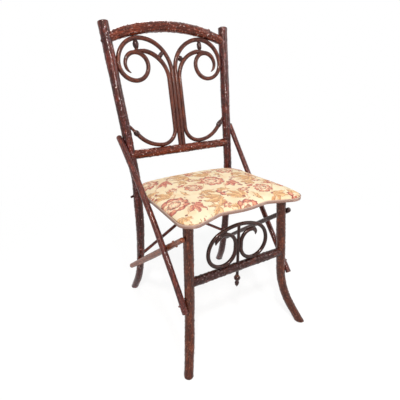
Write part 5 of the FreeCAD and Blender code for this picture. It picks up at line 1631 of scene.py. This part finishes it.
    def open_below(self, piece: bpy.types.Object) -> None:
        """Open the cloth under the board, so that only its hem turns under, and give it its thickness."""
        rim = [Vector((across, deep, 0.0)) for across, deep in self.outline(self.hem_wide)]
        work = bmesh.new()
        work.from_mesh(piece.data)
        gone = [face for face in work.faces
                if face.normal.z < -0.5 and self._inside(face.calc_center_median(), rim)]
        bmesh.ops.delete(work, geom=gone, context="FACES")
        work.to_mesh(piece.data)
        work.free()
        thick = piece.modifiers.new("thickness", "SOLIDIFY")
        thick.thickness = self.cloth_thick * 0.6
        thick.offset = -1.0
        self._bake(piece)

    @staticmethod
    def _inside(spot: Vector, rim: list[Vector]) -> bool:
        """Tell whether a point lies inside a closed line."""
        inside = False
        for first, second in zip(rim, rim[1:] + rim[:1]):
            if (first.y > spot.y) != (second.y > spot.y) and \
                    spot.x < first.x + (spot.y - first.y) * (second.x - first.x) / (second.y - first.y):
                inside = not inside
        return inside

    def braid(self) -> bpy.types.Object:
        """Sweep the gimp round the edge: two cords with a plaited middle between them."""
        ring = np.array(self._even(self.outline(0.0, 1.0, self.braid_step), self.braid_step))
        ways = np.roll(ring, -1, 0) - np.roll(ring, 1, 0)
        ways /= np.linalg.norm(ways, axis=1)[:, None]
        outs = np.stack([ways[:, 1], -ways[:, 0]], 1)
        low = self.underside + self.gimp_rise
        heights = (0.0, 0.06, 0.16, 0.27, 0.34, 0.5, 0.66, 0.73, 0.84, 0.94, 1.0)
        swells = (0.25, 0.85, 1.0, 0.7, 0.35, 0.55, 0.35, 0.7, 1.0, 0.85, 0.25)
        middles = (0.0, 0.0, 0.0, 0.1, 0.5, 1.0, 0.5, 0.1, 0.0, 0.0, 0.0)
        stock = Stock()
        count = len(ring)
        around = np.arange(count) * self.braid_step
        inner = ring - outs * self.gimp_thick
        edges = [(1.0, inner), (0.0, inner)]
        for height, swell, middle in zip(heights, swells, middles):
            plait = 0.35 * middle * np.sin(around * (2 * math.pi / self.plait_long) + height * 9.0)
            cord = (1 - middle) * 0.08 * np.sin(around * (2 * math.pi / self.cord_long) + height * 20.0)
            out = self.gimp_thick * (swell + plait + cord - 1.0)
            edges.append((height, ring + outs * out[:, None]))
        rings = []
        for height, edge in edges:
            level = np.full((count, 1), low + height * self.gimp_wide)
            grain = np.stack([around, np.full(count, height * self.gimp_wide), np.zeros(count)], 1)
            rings.append(stock.add_ring(np.hstack([edge, level]), grain))
        for first, second in zip(rings, rings[1:] + rings[:1]):
            stock.bridge(first, second, count)
        return stock.make("seat_gimp_braid")

    def build(self, shop: Workshop) -> None:
        """Make the stuffing, the cloth and the braid."""
        band = self.gimp_thick + self.gap
        stuffing = self.pad("seat_padding_stuffing", band + self.cloth_thick + self.under_cloth,
                            self.board_base + self.board_thick + self.gap,
                            self.crown_high - self.cloth_thick - self.under_cloth)
        shop.fit(stuffing, ["seat_padding"], ("fibre",))
        cover = self.pad("seat_cover_cloth", band, self.underside, self.crown_high)
        self.swell(cover)
        self.open_below(cover)
        subdivision = cover.modifiers.new("smooth", "SUBSURF")
        subdivision.levels = subdivision.render_levels = 1
        cover.data.polygons.foreach_set("use_smooth", [True] * len(cover.data.polygons))
        shop.fit(cover, ["seat_cover"], ("cloth",))
        shop.fit(self.braid(), ["seat_gimp"], ("gimp",))


@dataclass
class Fixings:
    """The board, nails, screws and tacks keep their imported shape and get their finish."""

    finishes: dict[str, str] = field(default_factory=lambda: {
        "seat_board": "board", "back_scroll_nails": "steel", "brace_nails": "steel",
        "cross_brace_nail": "steel", "front_scroll_nails": "steel", "seat_screws": "steel",
        "cover_tacks": "steel"})

    def build(self, shop: Workshop) -> None:
        """Give each node its finish."""
        for node, finish in self.finishes.items():
            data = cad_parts[node].data
            data.materials.clear()
            data.materials.append(shop.material(finish))
            log.info("%s keeps its shape, in %s", node, finish)


@dataclass
class Studio:
    """The camera, the lamps, the pale floor and the white surround."""

    eye: tuple[float, float, float] = (-0.51318, -0.83319, 0.7835)
    yaw: float = 0.5269
    pitch: float = 0.3781
    roll: float = -0.0116
    lens: float = 29.68
    sensor: float = 36.0
    nearest: float = 0.02
    floor_wide: float = 14.0
    lamp_aim: float = 0.45

    def camera(self) -> None:
        """Set the camera where the photograph was taken from."""
        forward = Vector((math.sin(self.yaw) * math.cos(self.pitch),
                          math.cos(self.yaw) * math.cos(self.pitch), -math.sin(self.pitch)))
        level = Vector((math.cos(self.yaw), -math.sin(self.yaw), 0.0))
        above = level.cross(forward)
        right = level * math.cos(self.roll) + above * math.sin(self.roll)
        up = above * math.cos(self.roll) - level * math.sin(self.roll)
        data = bpy.data.cameras.new("camera")
        data.lens = self.lens
        data.sensor_width = self.sensor
        data.clip_start = self.nearest
        camera = bpy.data.objects.new("camera", data)
        pose = Matrix((right, up, -forward)).transposed().to_4x4()
        pose.translation = Vector(self.eye)
        camera.matrix_world = pose
        bpy.context.scene.collection.objects.link(camera)
        bpy.context.scene.camera = camera

    def lamps(self) -> None:
        """Hang four soft lamps round the chair."""
        for name, spot, wide, power, colour in (
                ("key", (-1.0, -1.5, 2.5), 0.38, 50.0, (1.0, 0.98, 0.95)),
                ("front", (-0.3, -2.2, 1.7), 0.24, 22.0, (1.0, 1.0, 1.0)),
                ("fill", (1.9, -1.0, 1.6), 1.2, 14.0, (0.93, 0.96, 1.0)),
                ("rim", (0.6, 2.2, 2.2), 1.0, 18.0, (1.0, 1.0, 1.0))):
            data = bpy.data.lights.new(name, "AREA")
            data.size = wide
            data.energy = power
            data.color = colour
            lamp = bpy.data.objects.new(name, data)
            lamp.location = spot
            sight = UP * self.lamp_aim - lamp.location
            lamp.rotation_euler = sight.to_track_quat("-Z", "Y").to_euler()
            bpy.context.scene.collection.objects.link(lamp)

    @staticmethod
    def _seen(nodes: bpy.types.Nodes, links: bpy.types.NodeLinks) -> bpy.types.NodeSocket:
        """Return 1 for what the camera sees, itself or in a gloss or through glass."""
        path = nodes.new("ShaderNodeLightPath")
        last = path.outputs["Is Camera Ray"]
        for name in ("Is Glossy Ray", "Is Transmission Ray"):
            most = nodes.new("ShaderNodeMath")
            most.operation = "MAXIMUM"
            links.new(last, most.inputs[0])
            links.new(path.outputs[name], most.inputs[1])
            last = most.outputs[0]
        return last

    def surround(self) -> None:
        """Make the world light grey for the lamps' fill and white where it is seen."""
        world = bpy.data.worlds.new("surround")
        bpy.context.scene.world = world
        world.use_nodes = True
        nodes, links = world.node_tree.nodes, world.node_tree.links
        backdrop = nodes["Background"]
        backdrop.inputs["Color"].default_value = (1.0, 1.0, 1.0, 1.0)
        ramp = nodes.new("ShaderNodeMapRange")
        links.new(self._seen(nodes, links), ramp.inputs[0])
        ramp.inputs[3].default_value = 0.5
        ramp.inputs[4].default_value = 1.0
        links.new(ramp.outputs[0], backdrop.inputs["Strength"])

    def floor(self) -> None:
        """Lay a white floor that keeps a faint shadow near the chair and runs into the surround."""
        half = self.floor_wide / 2
        mesh = bpy.data.meshes.new("floor")
        corners = [(-half, -half, 0.0), (half, -half, 0.0), (half, half, 0.0), (-half, half, 0.0)]
        mesh.from_pydata(corners, [], [(0, 1, 2, 3)])
        ground = bpy.data.objects.new("floor", mesh)
        bpy.context.scene.collection.objects.link(ground)
        shader = Shader("floor_finish")
        seen = self._seen(shader.tree.nodes, shader.tree.links)
        material = shader.dress(Base_Color=(0.95, 0.95, 0.95, 1.0), Roughness=0.9, Specular_IOR_Level=0.0)
        glow = shader.tree.nodes.new("ShaderNodeEmission")
        blend = shader.tree.nodes.new("ShaderNodeMixShader")
        across, deep, _ = shader.parts(shader.place())
        away = (across * across + deep * deep).root()
        share = Wire(shader, seen) * (0.8 + 0.2 * away.fade(0.4, 1.6))
        shader.tree.links.new(share.socket, blend.inputs[0])
        shader.tree.links.new(shader.surface.outputs[0], blend.inputs[1])
        shader.tree.links.new(glow.outputs[0], blend.inputs[2])
        output = shader.tree.nodes["Material Output"]
        shader.tree.links.new(blend.outputs[0], output.inputs["Surface"])
        mesh.materials.append(material)

    def build(self) -> None:
        """Set up the studio."""
        bpy.context.scene.view_settings.view_transform = "Standard"
        self.camera()
        self.lamps()
        self.surround()
        self.floor()


def main() -> None:
    """Build the studio and the chair."""
    logging.basicConfig(level=logging.INFO, format="%(name)s: %(message)s")
    Studio().build()
    shop = Workshop(Finishes())
    uprights = Uprights()
    rails = Rails(uprights)
    for assembly in (uprights, rails, BackScroll(uprights, rails), FrontScroll(uprights, rails),
                     Braces(uprights), Seat(), Fixings()):
        assembly.build(shop)


if __name__ == "__main__":
    main()
